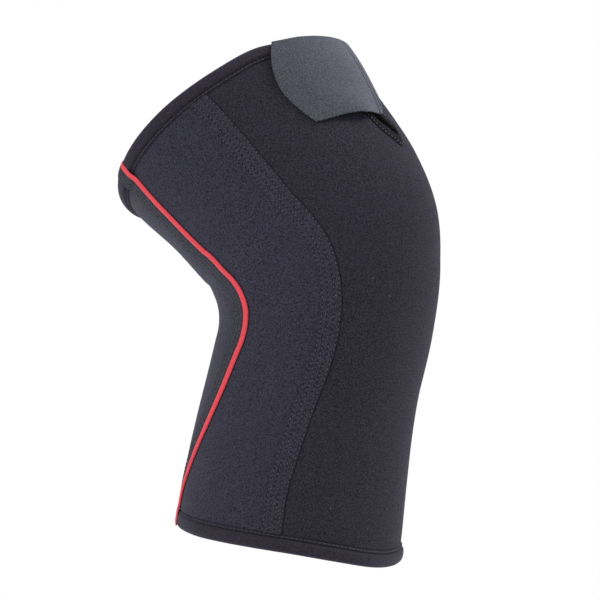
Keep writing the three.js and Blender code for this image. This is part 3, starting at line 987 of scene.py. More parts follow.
@dataclass(frozen=True)
class Fabric:
    """A fabric's finish: colours, painted shade from the groove attribute, weave, speckle and the
    way it takes light.
    """

    name: str
    colour: tuple[float, float, float]
    weave: Weave = Weave.JERSEY
    pitch: float = 0.9
    speckle: float = 0.7
    grain: float = 1250.0
    lint: float = 0.25
    relief: float = 0.10
    # how far the groove attribute's painted shade darkens the colour
    groove: float = 0.75
    roughness: float = 0.85
    specular: float = 0.12
    sheen: float = 0.12
    sheen_roughness: float = 0.45
    sheen_tint: tuple[float, float, float] = (190, 190, 215)
    # how much of a cloud's lighter colour shows, and that colour's gain
    cloud_share: float = 0.35
    cloud_gain: float = 1.25
    lint_colour: tuple[float, float, float] = (150, 152, 160)
    # the colour's gain where the groove attribute's painted shade is deepest
    deep_gain: float = 0.12
    # how much smoother the lightest yarns are than the darkest, and how high they stand
    gloss: float = 0.12
    yarn_height: float = 0.8

    def build(self, shaders: Shaders) -> bpy.types.Material:
        """Makes the material.

        Args:
            shaders: the shared node groups.

        Returns:
            A material that reads the piece's own surface places, its groove attribute of painted
            shade and object coordinates.
        """
        material = bpy.data.materials.new(self.name)
        material.use_nodes = True
        material.node_tree.nodes.clear()
        make = NodeMaker(material.node_tree)
        places = make.node("ShaderNodeUVMap")
        places.uv_map = UV_LAYER
        groove = make.node("ShaderNodeAttribute")
        groove.attribute_name = SHADE
        place = make.node("ShaderNodeTexCoord").outputs["Object"]
        weave = make.shared(
            shaders.group(self.weave.value), Vector=places.outputs["UV"], Pitch=self.pitch * MM
        )
        heather = make.shared(shaders.group("heather"), Vector=place, Grain=self.grain)
        lint = make.shared(shaders.group("lint"), Vector=place)
        plain = make.mix(
            heather.outputs["Speckle"],
            linear(self.colour, 1 - self.speckle),
            linear(self.colour, 1 + self.speckle),
        )
        clouded = make.mix(
            make.math("MULTIPLY", heather.outputs["Cloud"], self.cloud_share),
            plain,
            linear(self.colour, self.cloud_gain),
        )
        linted = make.mix(
            make.math("MULTIPLY", lint.outputs["Mask"], self.lint),
            clouded,
            linear(self.lint_colour),
        )
        # painted shade: the groove attribute darkens the colour towards its deep gain
        deep = make.math("MULTIPLY", groove.outputs["Fac"], self.groove)
        colour = make.mix(deep, linted, linear(self.colour, self.deep_gain))
        speckle = heather.outputs["Speckle"]
        dull = self.roughness + self.gloss / 2
        rough = make.math("MULTIPLY_ADD", speckle, -self.gloss, dull, clamp=True)
        height = make.math("MULTIPLY_ADD", speckle, self.yarn_height, weave.outputs["Height"])
        bump = make.node("ShaderNodeBump", Height=height)
        bump.inputs["Strength"].default_value = 1.0
        bump.inputs["Distance"].default_value = self.relief * MM
        shader = make.node(
            "ShaderNodeBsdfPrincipled",
            Base_Color=colour, Roughness=rough, Normal=bump.outputs["Normal"],
            Specular_IOR_Level=self.specular, Sheen_Weight=self.sheen,
            Sheen_Roughness=self.sheen_roughness, Sheen_Tint=linear(self.sheen_tint),
        )
        make.node("ShaderNodeOutputMaterial", Surface=shader.outputs["BSDF"])
        return material


@dataclass
class Workshop:
    """What every sub-assembly works with: the form, the slit, the finishes and the tally."""

    form: SleeveForm
    slit: Slit
    finishes: dict[str, bpy.types.Material]
    made: list[bpy.types.Object] = field(default_factory=list)

    def dress(
        self,
        obj: bpy.types.Object,
        finish: str,
        slot: str,
        node: str | None = None,
        lining: str | None = None,
    ) -> None:
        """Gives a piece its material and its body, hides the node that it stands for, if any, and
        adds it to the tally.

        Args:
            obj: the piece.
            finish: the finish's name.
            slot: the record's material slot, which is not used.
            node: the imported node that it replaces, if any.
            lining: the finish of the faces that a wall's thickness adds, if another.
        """
        obj.data.materials.append(self.finishes[finish])
        if lining:
            obj.data.materials.append(self.finishes[lining])
        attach(obj, BODY)
        if node:
            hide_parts(node)
        self.made.append(obj)
        LOG.info("%s: %d points", obj.name, len(obj.data.vertices))

    @staticmethod
    def thicken(obj: bpy.types.Object, thickness: float, lined: bool = False) -> None:
        """Gives an open sheet a wall inwards from its outer face, closed at its edges.

        Args:
            obj: the sheet.
            thickness: the wall's thickness in millimetres.
            lined: whether the added faces take the piece's second material.
        """
        wall = obj.modifiers.new("wall", "SOLIDIFY")
        wall.thickness = thickness * MM
        wall.offset = -1
        wall.use_even_offset = False
        wall.material_offset = 1 if lined else 0

    def strip(
        self,
        across: Array,
        up: Array,
        left: Along,
        right: Along,
        start: Along,
        end: Along,
    ) -> tuple[Array, Array]:
        """Spreads a grid between two sides and two ends that depend on each other.

        Args:
            across: shares from the left side to the right one.
            up: shares from the start to the end.
            left: the left side's angle at a way.
            right: the right side's angle at a way.
            start: the lower end's way at an angle.
            end: the upper end's way at an angle.

        Returns:
            Ways and angles of the grid, with rows going up.
        """
        a, b = across[None, :], up[:, None]
        s = lerp(-self.form.calf_length, self.form.thigh_length, b) + 0 * a
        for _ in range(PASSES):
            angle = lerp(left(s), right(s), a)
            s = lerp(start(angle), end(angle), b)
        return s, angle


def edged(count: int, size: float) -> Array:
    """Gives shares from 0 to 1 that crowd at both ends, for an edge that rolls in.

    Args:
        count: even steps between the edges.
        size: the whole length in millimetres.

    Returns:
        The shares, rising.
    """
    near = np.array(EDGE_ROWS) / size
    inner = np.linspace(near[-1], 1 - near[-1], count)
    return np.concatenate([near[:-1], inner, 1 - near[:-1][::-1]])


def rolled(distance: Array, radius: float) -> Array:
    """Gives the fall of a round edge: a quarter circle over the last radius."""
    left = np.clip(radius - distance, 0, radius)
    return radius - np.sqrt(radius**2 - left**2)


def spread(points: Array) -> Array:
    """Measures a grid: the lengths across from its middle column and along from its foot.

    Args:
        points: (rows, columns, 3) points.

    Returns:
        (rows, columns, 2) lengths, across and then along.
    """
    across = np.linalg.norm(np.diff(points, axis=1), axis=-1)
    along = np.linalg.norm(np.diff(points, axis=0), axis=-1)
    u = np.concatenate([np.zeros((len(points), 1)), np.cumsum(across, axis=1)], axis=1)
    u = u - u[:, [u.shape[1] // 2]]
    v = np.concatenate([np.zeros((1, points.shape[1])), np.cumsum(along, axis=0)])
    return np.stack([u, v], axis=-1)


@dataclass
class Panels:
    """The padded walls: a front panel with the slit, two side panels and a back panel."""

    shop: Workshop
    wall: float = 5.0
    under_hem: float = 0.5
    edge_radius: float = 0.5
    swell: float = 0.25
    swell_reach: float = 7.0
    ripple: float = 0.22
    # distances from the nearest edge between which the ripples set in
    ripple_start: tuple[float, float] = (2.0, 14.0)
    # steps along a wall, and across each half of the front, each side and the back
    rows: int = 145
    half_columns: int = 64
    side_columns: int = 72
    back_columns: int = 96
    # rough widths of half the front and of the other walls, which place the points at the edges
    half_width: float = 62.0
    wall_width: float = 90.0
    # the slit's edges count as edges from this far below its end, give or take the blend
    slit_end: float = 1.7
    slit_blend: float = 1.0
    # shade in the gaps at the sides: its depth at two ways along the sleeve, and its width
    side_shade: tuple[float, float] = (0.8, 0.2)
    side_shade_ways: tuple[float, float] = (-10.0, 70.0)
    side_shade_width: float = 0.4
    # depth and width of the shade at the hems
    end_shade: float = 0.5
    end_shade_width: float = 0.5
    # where a trim's foot presses in, before the right side: its place, depth, width and shade
    crease_place: float = 1.65
    crease_depth: float = 0.3
    crease_width: float = 0.4
    crease_shade: float = 0.7

    def relief(self, s: Array, angle: Array, from_sides: Array, from_ends: Array) -> Array:
        """Gives the padding's height: rolled edges, a soft swell behind them and slow ripples.

        The ripples are three sine waves, along the sleeve, round it and across both, over the
        sum of their heights.

        Args:
            s: ways along the sleeve.
            angle: angles round it.
            from_sides: distances from the nearer side.
            from_ends: distances from the nearer hem.

        Returns:
            Heights above the outer face.
        """
        near = np.minimum(from_sides, from_ends)
        swollen = self.swell * (smoothstep(near, 0, self.swell_reach) - 1)
        turn = np.radians(angle)
        waves = (
            np.sin(s / 13 + 2.1 * np.sin(turn * 2 + 0.4))
            + np.sin(turn * 7 + s / 31)
            + np.sin(s / 7.5 - turn * 5 + 1.3) * 0.5
        )
        soft = smoothstep(near, *self.ripple_start)
        return swollen - rolled(near, self.edge_radius) + self.ripple * waves / 2.5 * soft

    def plan(
        self, columns: int, left: Along, right: Along, open_left: bool = False,
        open_right: bool = False, creased: bool = False,
    ) -> MeshPlan:
        """Lays a wall's outer face between two sides.

        Args:
            columns: steps across.
            left: the side with the smaller angle.
            right: the side with the larger angle.
            open_left: whether the left side is the slit's line.
            open_right: whether the right side is the slit's line.
            creased: whether a trim's foot presses in before the right side.

        Returns:
            The plan of the face.
        """
        form = self.shop.form
        width = self.half_width if open_left or open_right else self.wall_width
        s, angle = self.shop.strip(
            edged(columns, width),
            edged(self.rows, form.calf_length + form.thigh_length),
            left,
            right,
            lambda at: form.calf_hem_top(at) - self.under_hem,
            lambda at: form.thigh_hem_foot(at) + self.under_hem,
        )
        scale = form.per_degree(s, angle)
        slit_foot = float(self.shop.slit.way(np.zeros(1))[0]) - self.slit_end
        in_slit = smoothstep(s, slit_foot - self.slit_blend, slit_foot + self.slit_blend)
        below = FAR * (1 - in_slit)
        from_left = (angle - left(s)) * scale + (below if open_left else 0)
        from_right = (right(s) - angle) * scale + (below if open_right else 0)
        from_ends = np.minimum(s - form.calf_hem_top(angle), form.thigh_hem_foot(angle) - s)
        from_sides = np.minimum(from_left, from_right)
        height = self.relief(s, angle, from_sides, from_ends)
        uv = np.stack([angle * scale.mean(), s], axis=-1)
        depth = lerp(*self.side_shade, smoothstep(s, *self.side_shade_ways))
        shade = np.maximum(
            depth * bell(np.maximum(from_sides, 0), self.side_shade_width),
            self.end_shade * bell(np.maximum(from_ends, 0), self.end_shade_width),
        )
        if creased:
            pressed = bell(from_right - self.crease_place, self.crease_width)
            height = height - self.crease_depth * pressed
            shade = np.maximum(shade, self.crease_shade * pressed)
        return sheet_plan(form.skin(s, angle, height), uv, shade)

    def wall_piece(self, name: str, plan: MeshPlan, fabric: str, slot: str) -> None:
        """Makes one padded wall that replaces its node.

        Args:
            name: the node's name.
            plan: the plan of the wall's outer face.
            fabric: the finish of that face.
            slot: the record's material slot.
        """
        piece = plan.build(f"{name}_fabric", weld=True)
        self.shop.thicken(piece, self.wall, lined=True)
        self.shop.dress(piece, fabric, slot, name, lining="lining")

    def build(self) -> None:
        """Makes all the walls."""
        form, slit = self.shop.form, self.shop.slit
        front, back = form.front_seam, form.back_seam
        half = self.half_columns
        right_half = self.plan(half, lambda s: slit.edge(1, s), front, open_left=True)
        left_half = self.plan(
            half, lambda s: -front(s), lambda s: slit.edge(-1, s), open_right=True
        )
        whole = right_half.joined(left_half)
        self.wall_piece("front_panel", whole, "front", "front_fabric")
        side = self.plan(self.side_columns, front, back, creased=True)
        for hand in Side:
            self.wall_piece(f"side_panel_{hand.value}", side.on(hand), "side", "side_fabric")
        rear = self.plan(self.back_columns, back, lambda s: 360 - back(s))
        self.wall_piece("back_panel", rear, "back", "back_fabric")


@dataclass
class Hems:
    """The folded hems at both rims, with a notch and a stitched bead at their inner edges."""

    shop: Workshop
    wall: float = 5.0
    inside: float = 0.9
    roundness: float = 2.7
    # way from the rim, greatest outer height where the hem stands proud by the whole bulge
    fold: Rows = (
        (0.00, 4.0), (0.50, 1.90), (0.62, 1.72), (0.70, 1.40), (0.75, 0.85), (0.80, -0.20),
        (0.85, 0.25), (0.92, 0.40), (0.97, 0.15), (1.00, -0.30),
    )
    notch_way: float = 0.80
    bead_way: float = 0.92
    # depth of the shade in the notch and at the hem's inner edge, and its width in hem heights
    notch_shade: tuple[float, float] = (0.5, 0.035)
    edge_shade: tuple[float, float] = (0.3, 0.03)
    # the section's size at an open end, and the angle over which it grows to the whole
    end_size: float = 0.35
    end_reach: float = 1.6
    # degrees from an open end at which its first sections lie, and where the even ones start
    end_steps: tuple[float, ...] = (0.0, 0.2, 0.6)
    even_from: float = 1.2
    # sections at an open end that the stitches leave out
    bare_sections: int = 4
    # the angle at which a degree is measured for the surface map
    measured_at: float = 60.0
    # how deep the stitches lie in the bead, and how far their ends lean
    sunk: float = 0.05
    slant: float = 0.15
    steps: int = 340
    corners: int = 84

    def cap(self, way: Array, bulge: Array) -> Array:
        """Gives the greatest outer height: a round fold, a notch and a low bead behind it."""
        return Curve(self.fold)(way) * bulge / self.shop.form.hem_bulge

    def ring(
        self, rim: Along, bulge_at: Along, inward: int, angles: Array, closed: bool
    ) -> MeshPlan:
        """Carries the hem's section round the sleeve: a superellipse under the fold's own cap.

        Args:
            rim: the rim's way at an angle.
            bulge_at: how far the hem stands proud at an angle.
            inward: 1 where the hem lies above its rim, -1 where it lies below.
            angles: the angles of the sections.
            closed: whether the hem goes all the way round.

        Returns:
            The plan of the closed hem.
        """
        form = self.shop.form
        turn = np.arange(self.corners) * math.tau / self.corners
        power = 2 / self.roundness
        c, d = np.cos(turn), np.sin(turn)
        way = 0.5 + 0.5 * np.sign(c) * np.abs(c) ** power
        bulge = bulge_at(angles)[:, None]
        half = (bulge + self.wall + self.inside) / 2
        outside = d > 0
        heights = bulge - half + half * (np.sign(d) * np.abs(d) ** power)[None, :]
        capped = np.minimum(heights, self.cap(way[None, :], bulge))
        heights = np.where(outside[None, :], capped, heights)
        deep, wide = self.notch_shade
        notch = deep * bell(way - self.notch_way, wide) * outside
        angle = angles[:, None] + 0 * way[None, :]
        s = rim(angle) + inward * way[None, :] * form.hem_height
        if not closed:
            ends = np.minimum(angles - angles[0], angles[-1] - angles)[:, None]
            taper = lerp(self.end_size, 1.0, np.sqrt(np.clip(ends / self.end_reach, 0, 1)))
            s = lerp(rim(angle) + inward * 0.5 * form.hem_height, s, taper)
            heights = lerp(bulge - half, heights, taper)
        points = form.skin(s, angle, heights)
        around = angles * float(form.per_degree(np.zeros(1), np.full(1, self.measured_at))[0])
        section = np.append(turn, math.tau) / math.tau * 2 * (form.hem_height + 2 * half.mean())
        uv = np.stack(np.broadcast_arrays(around[:, None], section[None, :]), axis=-1)
        deep, wide = self.edge_shade
        shade = np.clip(notch + deep * bell(way - 1.0, wide), 0, 1)[None, :] + 0 * angle
        return tube_plan(points, uv, shade, loop=closed)

    def stitches(
        self, rim: Along, bulge_at: Along, inward: int, angles: Array, name: str
    ) -> None:
        """Sews the hem down with a line of stitches on its bead.

        Args:
            rim: the rim's way at an angle.
            bulge_at: how far the hem stands proud at an angle.
            inward: 1 where the hem lies above its rim, -1 where it lies below.
            angles: the angles that the line goes through.
            name: the piece's name.
        """
        form = self.shop.form
        line = SewnLine(form, pitch=2.7, length=1.8, thread=Thread(radius=0.24, rise=0.15))
        s = rim(angles) + inward * self.bead_way * form.hem_height
        height = self.cap(np.full_like(angles, self.bead_way), bulge_at(angles))
        piece = line.plan(s, angles, height - self.sunk, slant=self.slant).build(name)
        self.shop.dress(piece, "hem_thread", "hem_fabric")

    def even_bulge(self, angle: Array) -> Array:
        """Gives how far the thigh hem stands proud, the same at every angle."""
        return np.full_like(angle, self.shop.form.hem_bulge)

    def build(self) -> None:
        """Makes the calf hem, and the thigh hem that is open at the slit."""
        form, slit = self.shop.form, self.shop.slit
        full = np.linspace(0, 360, self.steps + 1)
        even = self.even_bulge
        calf = self.ring(form.calf_rim, form.calf_bulge, 1, full, True).build("calf_hem_fold")
        self.shop.dress(calf, "hem", "hem_fabric", "calf_hem")
        at_hem = form.thigh_rim(np.zeros(1)) - form.hem_height / 2
        right, left = float(slit.edge(1, at_hem)[0]), float(slit.edge(-1, at_hem)[0])
        far, near = 360 + left, np.array(self.end_steps)
        middle = np.linspace(right + self.even_from, far - self.even_from, self.steps)
        opened = np.concatenate([right + near, middle, far - near[::-1]])
        thigh = self.ring(form.thigh_rim, even, -1, opened, False).build("thigh_hem_fold")
        self.shop.dress(thigh, "hem", "hem_fabric", "thigh_hem")
        self.stitches(form.calf_rim, form.calf_bulge, 1, full, "calf_hem_stitches")
        sewn = opened[self.bare_sections : -self.bare_sections]
        self.stitches(form.thigh_rim, even, -1, sewn, "thigh_hem_stitches")


@dataclass
class CoverBand:
    """A cover-stitched band behind a seam: soft ribs, needle holes and threads between them."""

    shop: Workshop
    node: str
    slot: str
    finish: str
    thread_finish: str
    seam: Along
    gap: float
    width: float
    stitch_rows: tuple[float, ...]
    over_hems: bool = False
    height: float = 0.75
    pitch: float = 2.8
    groove: float = 0.3
    hole: float = 0.35
    hole_shade: float = 0.95
    reach: float = 0.24
    radius: float = 0.22
    seed: int = 7
    # width and shade of a sewn groove, and a needle hole's size along the band and across it
    groove_width: float = 0.75
    groove_shade: float = 0.15
    hole_size: tuple[float, float] = (0.55, 0.5)
    # the radius by which the sides roll in, and the depth and width of the shade beside them
    edge_radius: float = 0.7
    edge_shade: tuple[float, float] = (0.6, 0.35)
    # the gap at the rims for a band over the hems, and at the hems for one between them
    rim_gap: float = 0.2
    hem_gap: float = 0.05
    thickness: float = 1.0
    # a thread's arch, how deep it lies, and how uneven it is along in pitches and across
    rise: float = 0.2
    sunk: float = 0.05
    uneven: tuple[float, float] = (0.1, 0.15)
    # shares of the width at which the first columns lie, and where the even ones start
    edge_columns: tuple[float, ...] = (0.0, 0.01, 0.03)
    even_from: float = 0.055
    rows: int = 560
    columns: int = 30

    def seat(self, s: Array, angle: Array) -> Array:
        """Gives the height of what lies under the band."""
        return self.shop.form.trim_seat(s, angle) if self.over_hems else np.zeros_like(s)

    def surface(self, from_seam: Array, run: Array) -> tuple[Array, Array]:
        """Gives the band's own height and shade: soft tops, sewn grooves and needle holes.

        Args:
            from_seam: distances behind the seam.
            run: lengths along the band.

        Returns:
            Heights above what lies under the band, and depths of shade.
        """
        height = np.full_like(from_seam, self.height)
        shade = np.zeros_like(from_seam)
        for number, line in enumerate(self.stitch_rows):
            across = bell(from_seam - line, self.groove_width)
            phase = (run / self.pitch + 0.5 * (number % 2)) % 1.0
            long, wide = self.hole_size
            hole = bell((phase - 0.5) * self.pitch, long) * bell(from_seam - line, wide)
            height = height - self.groove * across - self.hole * hole
            sewn = np.maximum(self.groove_shade * across, self.hole_shade * hole)
            shade = np.maximum(shade, sewn)
        edge = np.minimum(from_seam - self.gap, self.gap + self.width - from_seam)
        height = height - rolled(edge, self.edge_radius)
        deep, wide = self.edge_shade
        return height, np.maximum(shade, deep * bell(np.maximum(edge, 0), wide))

    def build(self) -> None:
        """Makes the band and its stitches on both sides."""
        form = self.shop.form
        inset, low, high = (
            (self.rim_gap, form.calf_rim, form.thigh_rim)
            if self.over_hems
            else (self.hem_gap, form.calf_hem_top, form.thigh_hem_foot)
        )
        near = np.array(self.edge_columns)
        even = np.linspace(self.even_from, 1 - self.even_from, self.columns)
        s, angle = self.shop.strip(
            np.concatenate([near, even, 1 - near[::-1]]),
            np.linspace(0, 1, self.rows),
            lambda at: form.turned(at, self.seam(at), self.gap),
            lambda at: form.turned(at, self.seam(at), self.gap + self.width),
            lambda at: low(at) + inset,
            lambda at: high(at) - inset,
        )
        from_seam = (angle - self.seam(s)) * form.per_degree(s, self.seam(s))
        run = spread(form.skin(s, angle))[..., 1]
        middle_run = run[:, [run.shape[1] // 2]] + 0 * run
        height, shade = self.surface(from_seam, middle_run)
        uv = np.stack([from_seam, middle_run], axis=-1)
        band = sheet_plan(form.skin(s, angle, height + self.seat(s, angle)), uv, shade)
        threads = self.threads(s, middle_run)
        for hand in Side:
            piece = band.on(hand).build(f"{self.node}_{hand.value}_fabric")
            self.shop.thicken(piece, self.thickness)
            self.shop.dress(piece, self.finish, self.slot, f"{self.node}_{hand.value}")
            sewn = threads.on(hand).build(f"{self.node}_{hand.value}_stitches")
            self.shop.dress(sewn, self.thread_finish, self.slot)

    def threads(self, s: Array, run: Array) -> MeshPlan:
        """Lays one short thread between each two needle holes of each row, a little uneven.

        Args:
            s: ways of the band's points.
            run: lengths along the band, alike in each column.

        Returns:
            The plan of all the threads.
        """
        form = self.shop.form
        thread = Thread(radius=self.radius, rise=self.rise)
        chance = np.random.default_rng(self.seed)
        along, across = self.uneven
        plans = []
        way, length = s[:, s.shape[1] // 2], run[:, 0]
        for number, line in enumerate(self.stitch_rows):
            shift = 0.5 * (number % 2)
            marks = np.arange(1.0 - shift, length[-1] / self.pitch - 0.5, 1.0)
            marks = (marks + chance.uniform(-along, along, len(marks))) * self.pitch
            off = line + chance.uniform(-across, across, len(marks))
            ends = []
            for end in (-self.reach, self.reach):
                at = np.interp(marks + end * self.pitch, length, way)
                turn = form.turned(at, self.seam(at), off)
                under = self.height - self.groove - self.sunk + self.seat(at, turn)
                ends.append(form.skin(at, turn, under))
            middle = np.interp(marks, length, way)
            out = form.normal(middle, form.turned(middle, self.seam(middle), off))
            plans.append(thread.plan(ends[0], ends[1], out))
        joined = plans[0]
        for plan in plans[1:]:
            joined = joined.joined(plan)
        return joined


@dataclass
class Piping:
    """The red piping along both back seams, over the hems from rim to rim."""

    shop: Workshop
    width: float = 3.8
    height: float = 1.3
    height_on_hem: float = 0.75
    sunk: float = 0.35
    squareness: float = 0.8
    # gaps at the calf's rim and at the thigh's rim
    rim_gaps: tuple[float, float] = (1.0, 0.5)
    # shade at the foot: its depth, its place in half heights above the middle, and its width
    foot_shade: float = 0.4
    foot_place: float = -0.6
    foot_width: float = 0.5
    corners: int = 20
    rows: int = 420

    def plan(self) -> MeshPlan:
        """Carries a flattened round section along the seam.

        Its places across and up are powers of a turn's cosine and sine.

        Returns:
            The plan of the right side's piping.
        """
        form = self.shop.form
        turn = np.arange(self.corners) * math.tau / self.corners
        c, d = np.cos(turn), np.sin(turn)
        across = (1 - np.sign(c) * np.abs(c) ** self.squareness) / 2
        up = np.sign(d) * np.abs(d) ** self.squareness
        s, angle = self.shop.strip(
            np.linspace(0, 1, 2),
            np.linspace(0, 1, self.rows),
            lambda at: form.turned(at, form.back_seam(at), -self.width / 2),
            lambda at: form.turned(at, form.back_seam(at), self.width / 2),
            lambda at: form.calf_rim(at) + self.rim_gaps[0],
            lambda at: form.thigh_rim(at) - self.rim_gaps[1],
        )
        s = lerp(s[:, [0]], s[:, [1]], across[None, :])
        angle = lerp(angle[:, [0]], angle[:, [1]], across[None, :])
        high = lerp(self.height, self.height_on_hem, form.on_hem(s, angle))
        lift = form.trim_seat(s, angle) - self.sunk
        lift = lift + (high + self.sunk) * (0.5 + 0.5 * up[None, :])
        points = form.skin(s, angle, lift)
        run = spread(points)[:, [0], 1]
        section = np.append(turn, math.tau)[None, :] * self.width / 2
        uv = np.stack(np.broadcast_arrays(section, run), axis=-1)
        shade = self.foot_shade * bell(up - self.foot_place, self.foot_width)
        return tube_plan(points, uv, shade[None, :] + 0 * angle)

    def build(self) -> None:
        """Makes the piping on both sides."""
        plan = self.plan()
        for hand in Side:
            cord = plan.on(hand).build(f"piping_{hand.value}_trim")
            self.shop.dress(cord, "piping", "red_piping", f"piping_{hand.value}")


@dataclass
class SlitBinding:
    """The bound edge of the slit: a folded tape with a row of stitches near its outer edge."""

    shop: Workshop
    below_hem: float = 1.75
    # offset from the lip into the fabric, and height above the panel
    section: Rows = (
        (6.8, -0.3), (6.7, 0.2), (6.4, 0.55), (5.9, 0.66), (5.5, 0.42), (5.1, 0.66),
        (4.0, 0.80), (2.6, 0.85), (1.2, 0.82), (0.5, 0.80), (0.0, 0.55),
        (-0.35, 0.0), (-0.4, -0.9), (-0.2, -2.4), (0.3, -3.6),
    )
    stitch_line: float = 5.5
    # the tape's width at the closed end as a share, and the share of the line over which it widens
    end_width: float = 0.5
    widening: float = 0.45
    # depth and width of the shade on the line of stitches, and the height at which they lie
    line_shade: tuple[float, float] = (0.6, 0.3)
    line_height: float = 0.42
    slant: float = 0.15
    thickness: float = 0.5
    rows: int = 240
    columns: int = 46

    def lips(self) -> tuple[Array, Array]:
        """Gives the places along both lips, down the left one and up the right.

        Returns:
            Shares of a lip's line, and 1 on the right lip or -1 on the left one.
        """
        slit, form = self.shop.slit, self.shop.form
        foot = form.thigh_hem_foot(np.zeros(1)) - self.below_hem
        top = float(((foot - slit.way(np.zeros(1))) / slit.length)[0])
        reach = slit.end_share + top / slit.rows[-1][0] * (1 - slit.end_share)
        t = np.linspace(-reach, reach, self.rows)
        return np.abs(t), np.where(t < 0, -1.0, 1.0)

    def narrowed(self, t: Array, from_lip: Array) -> Array:
        """Draws the tape's outer side in towards the closed end."""
        full = lerp(self.end_width, 1.0, smoothstep(t, 0, self.widening))
        return np.where(from_lip > 0, from_lip * full, from_lip)

    def build(self) -> None:
        """Makes the tape and its stitches."""
        slit = self.shop.slit
        t, side = self.lips()
        fine = Curve([(k, row[0]) for k, row in enumerate(self.section)])
        high = Curve([(k, row[1]) for k, row in enumerate(self.section)])
        steps = np.linspace(0, len(self.section) - 1, self.columns)
        from_lip, height = fine(steps), high(steps)
        offset = self.narrowed(t[:, None], from_lip[None, :])
        x, s = slit.lip(t[:, None] + 0 * offset, side[:, None] + 0 * offset, offset)
        points = slit.place(x, s, height[None, :] + 0 * x)
        uv = spread(points)
        deep, wide = self.line_shade
        shade = deep * bell(from_lip - self.stitch_line, wide) + 0 * x
        piece = sheet_plan(points[:, ::-1], uv[:, ::-1], shade[:, ::-1]).build(
            "slit_binding_tape"
        )
        self.shop.thicken(piece, self.thickness)
        self.shop.dress(piece, "binding", "slit_binding", "slit_binding")
        line = SewnLine(
            self.shop.form, pitch=2.3, length=1.5, thread=Thread(radius=0.32, rise=0.3)
        )
        x, s = slit.lip(t, side, self.narrowed(t, np.full_like(t, self.stitch_line)))
        angle = self.shop.form.turned(s, np.zeros_like(s), x)
        sewn = line.plan(s, angle, self.line_height, self.slant).build("slit_binding_stitches")
        self.shop.dress(sewn, "light_thread", "slit_binding")


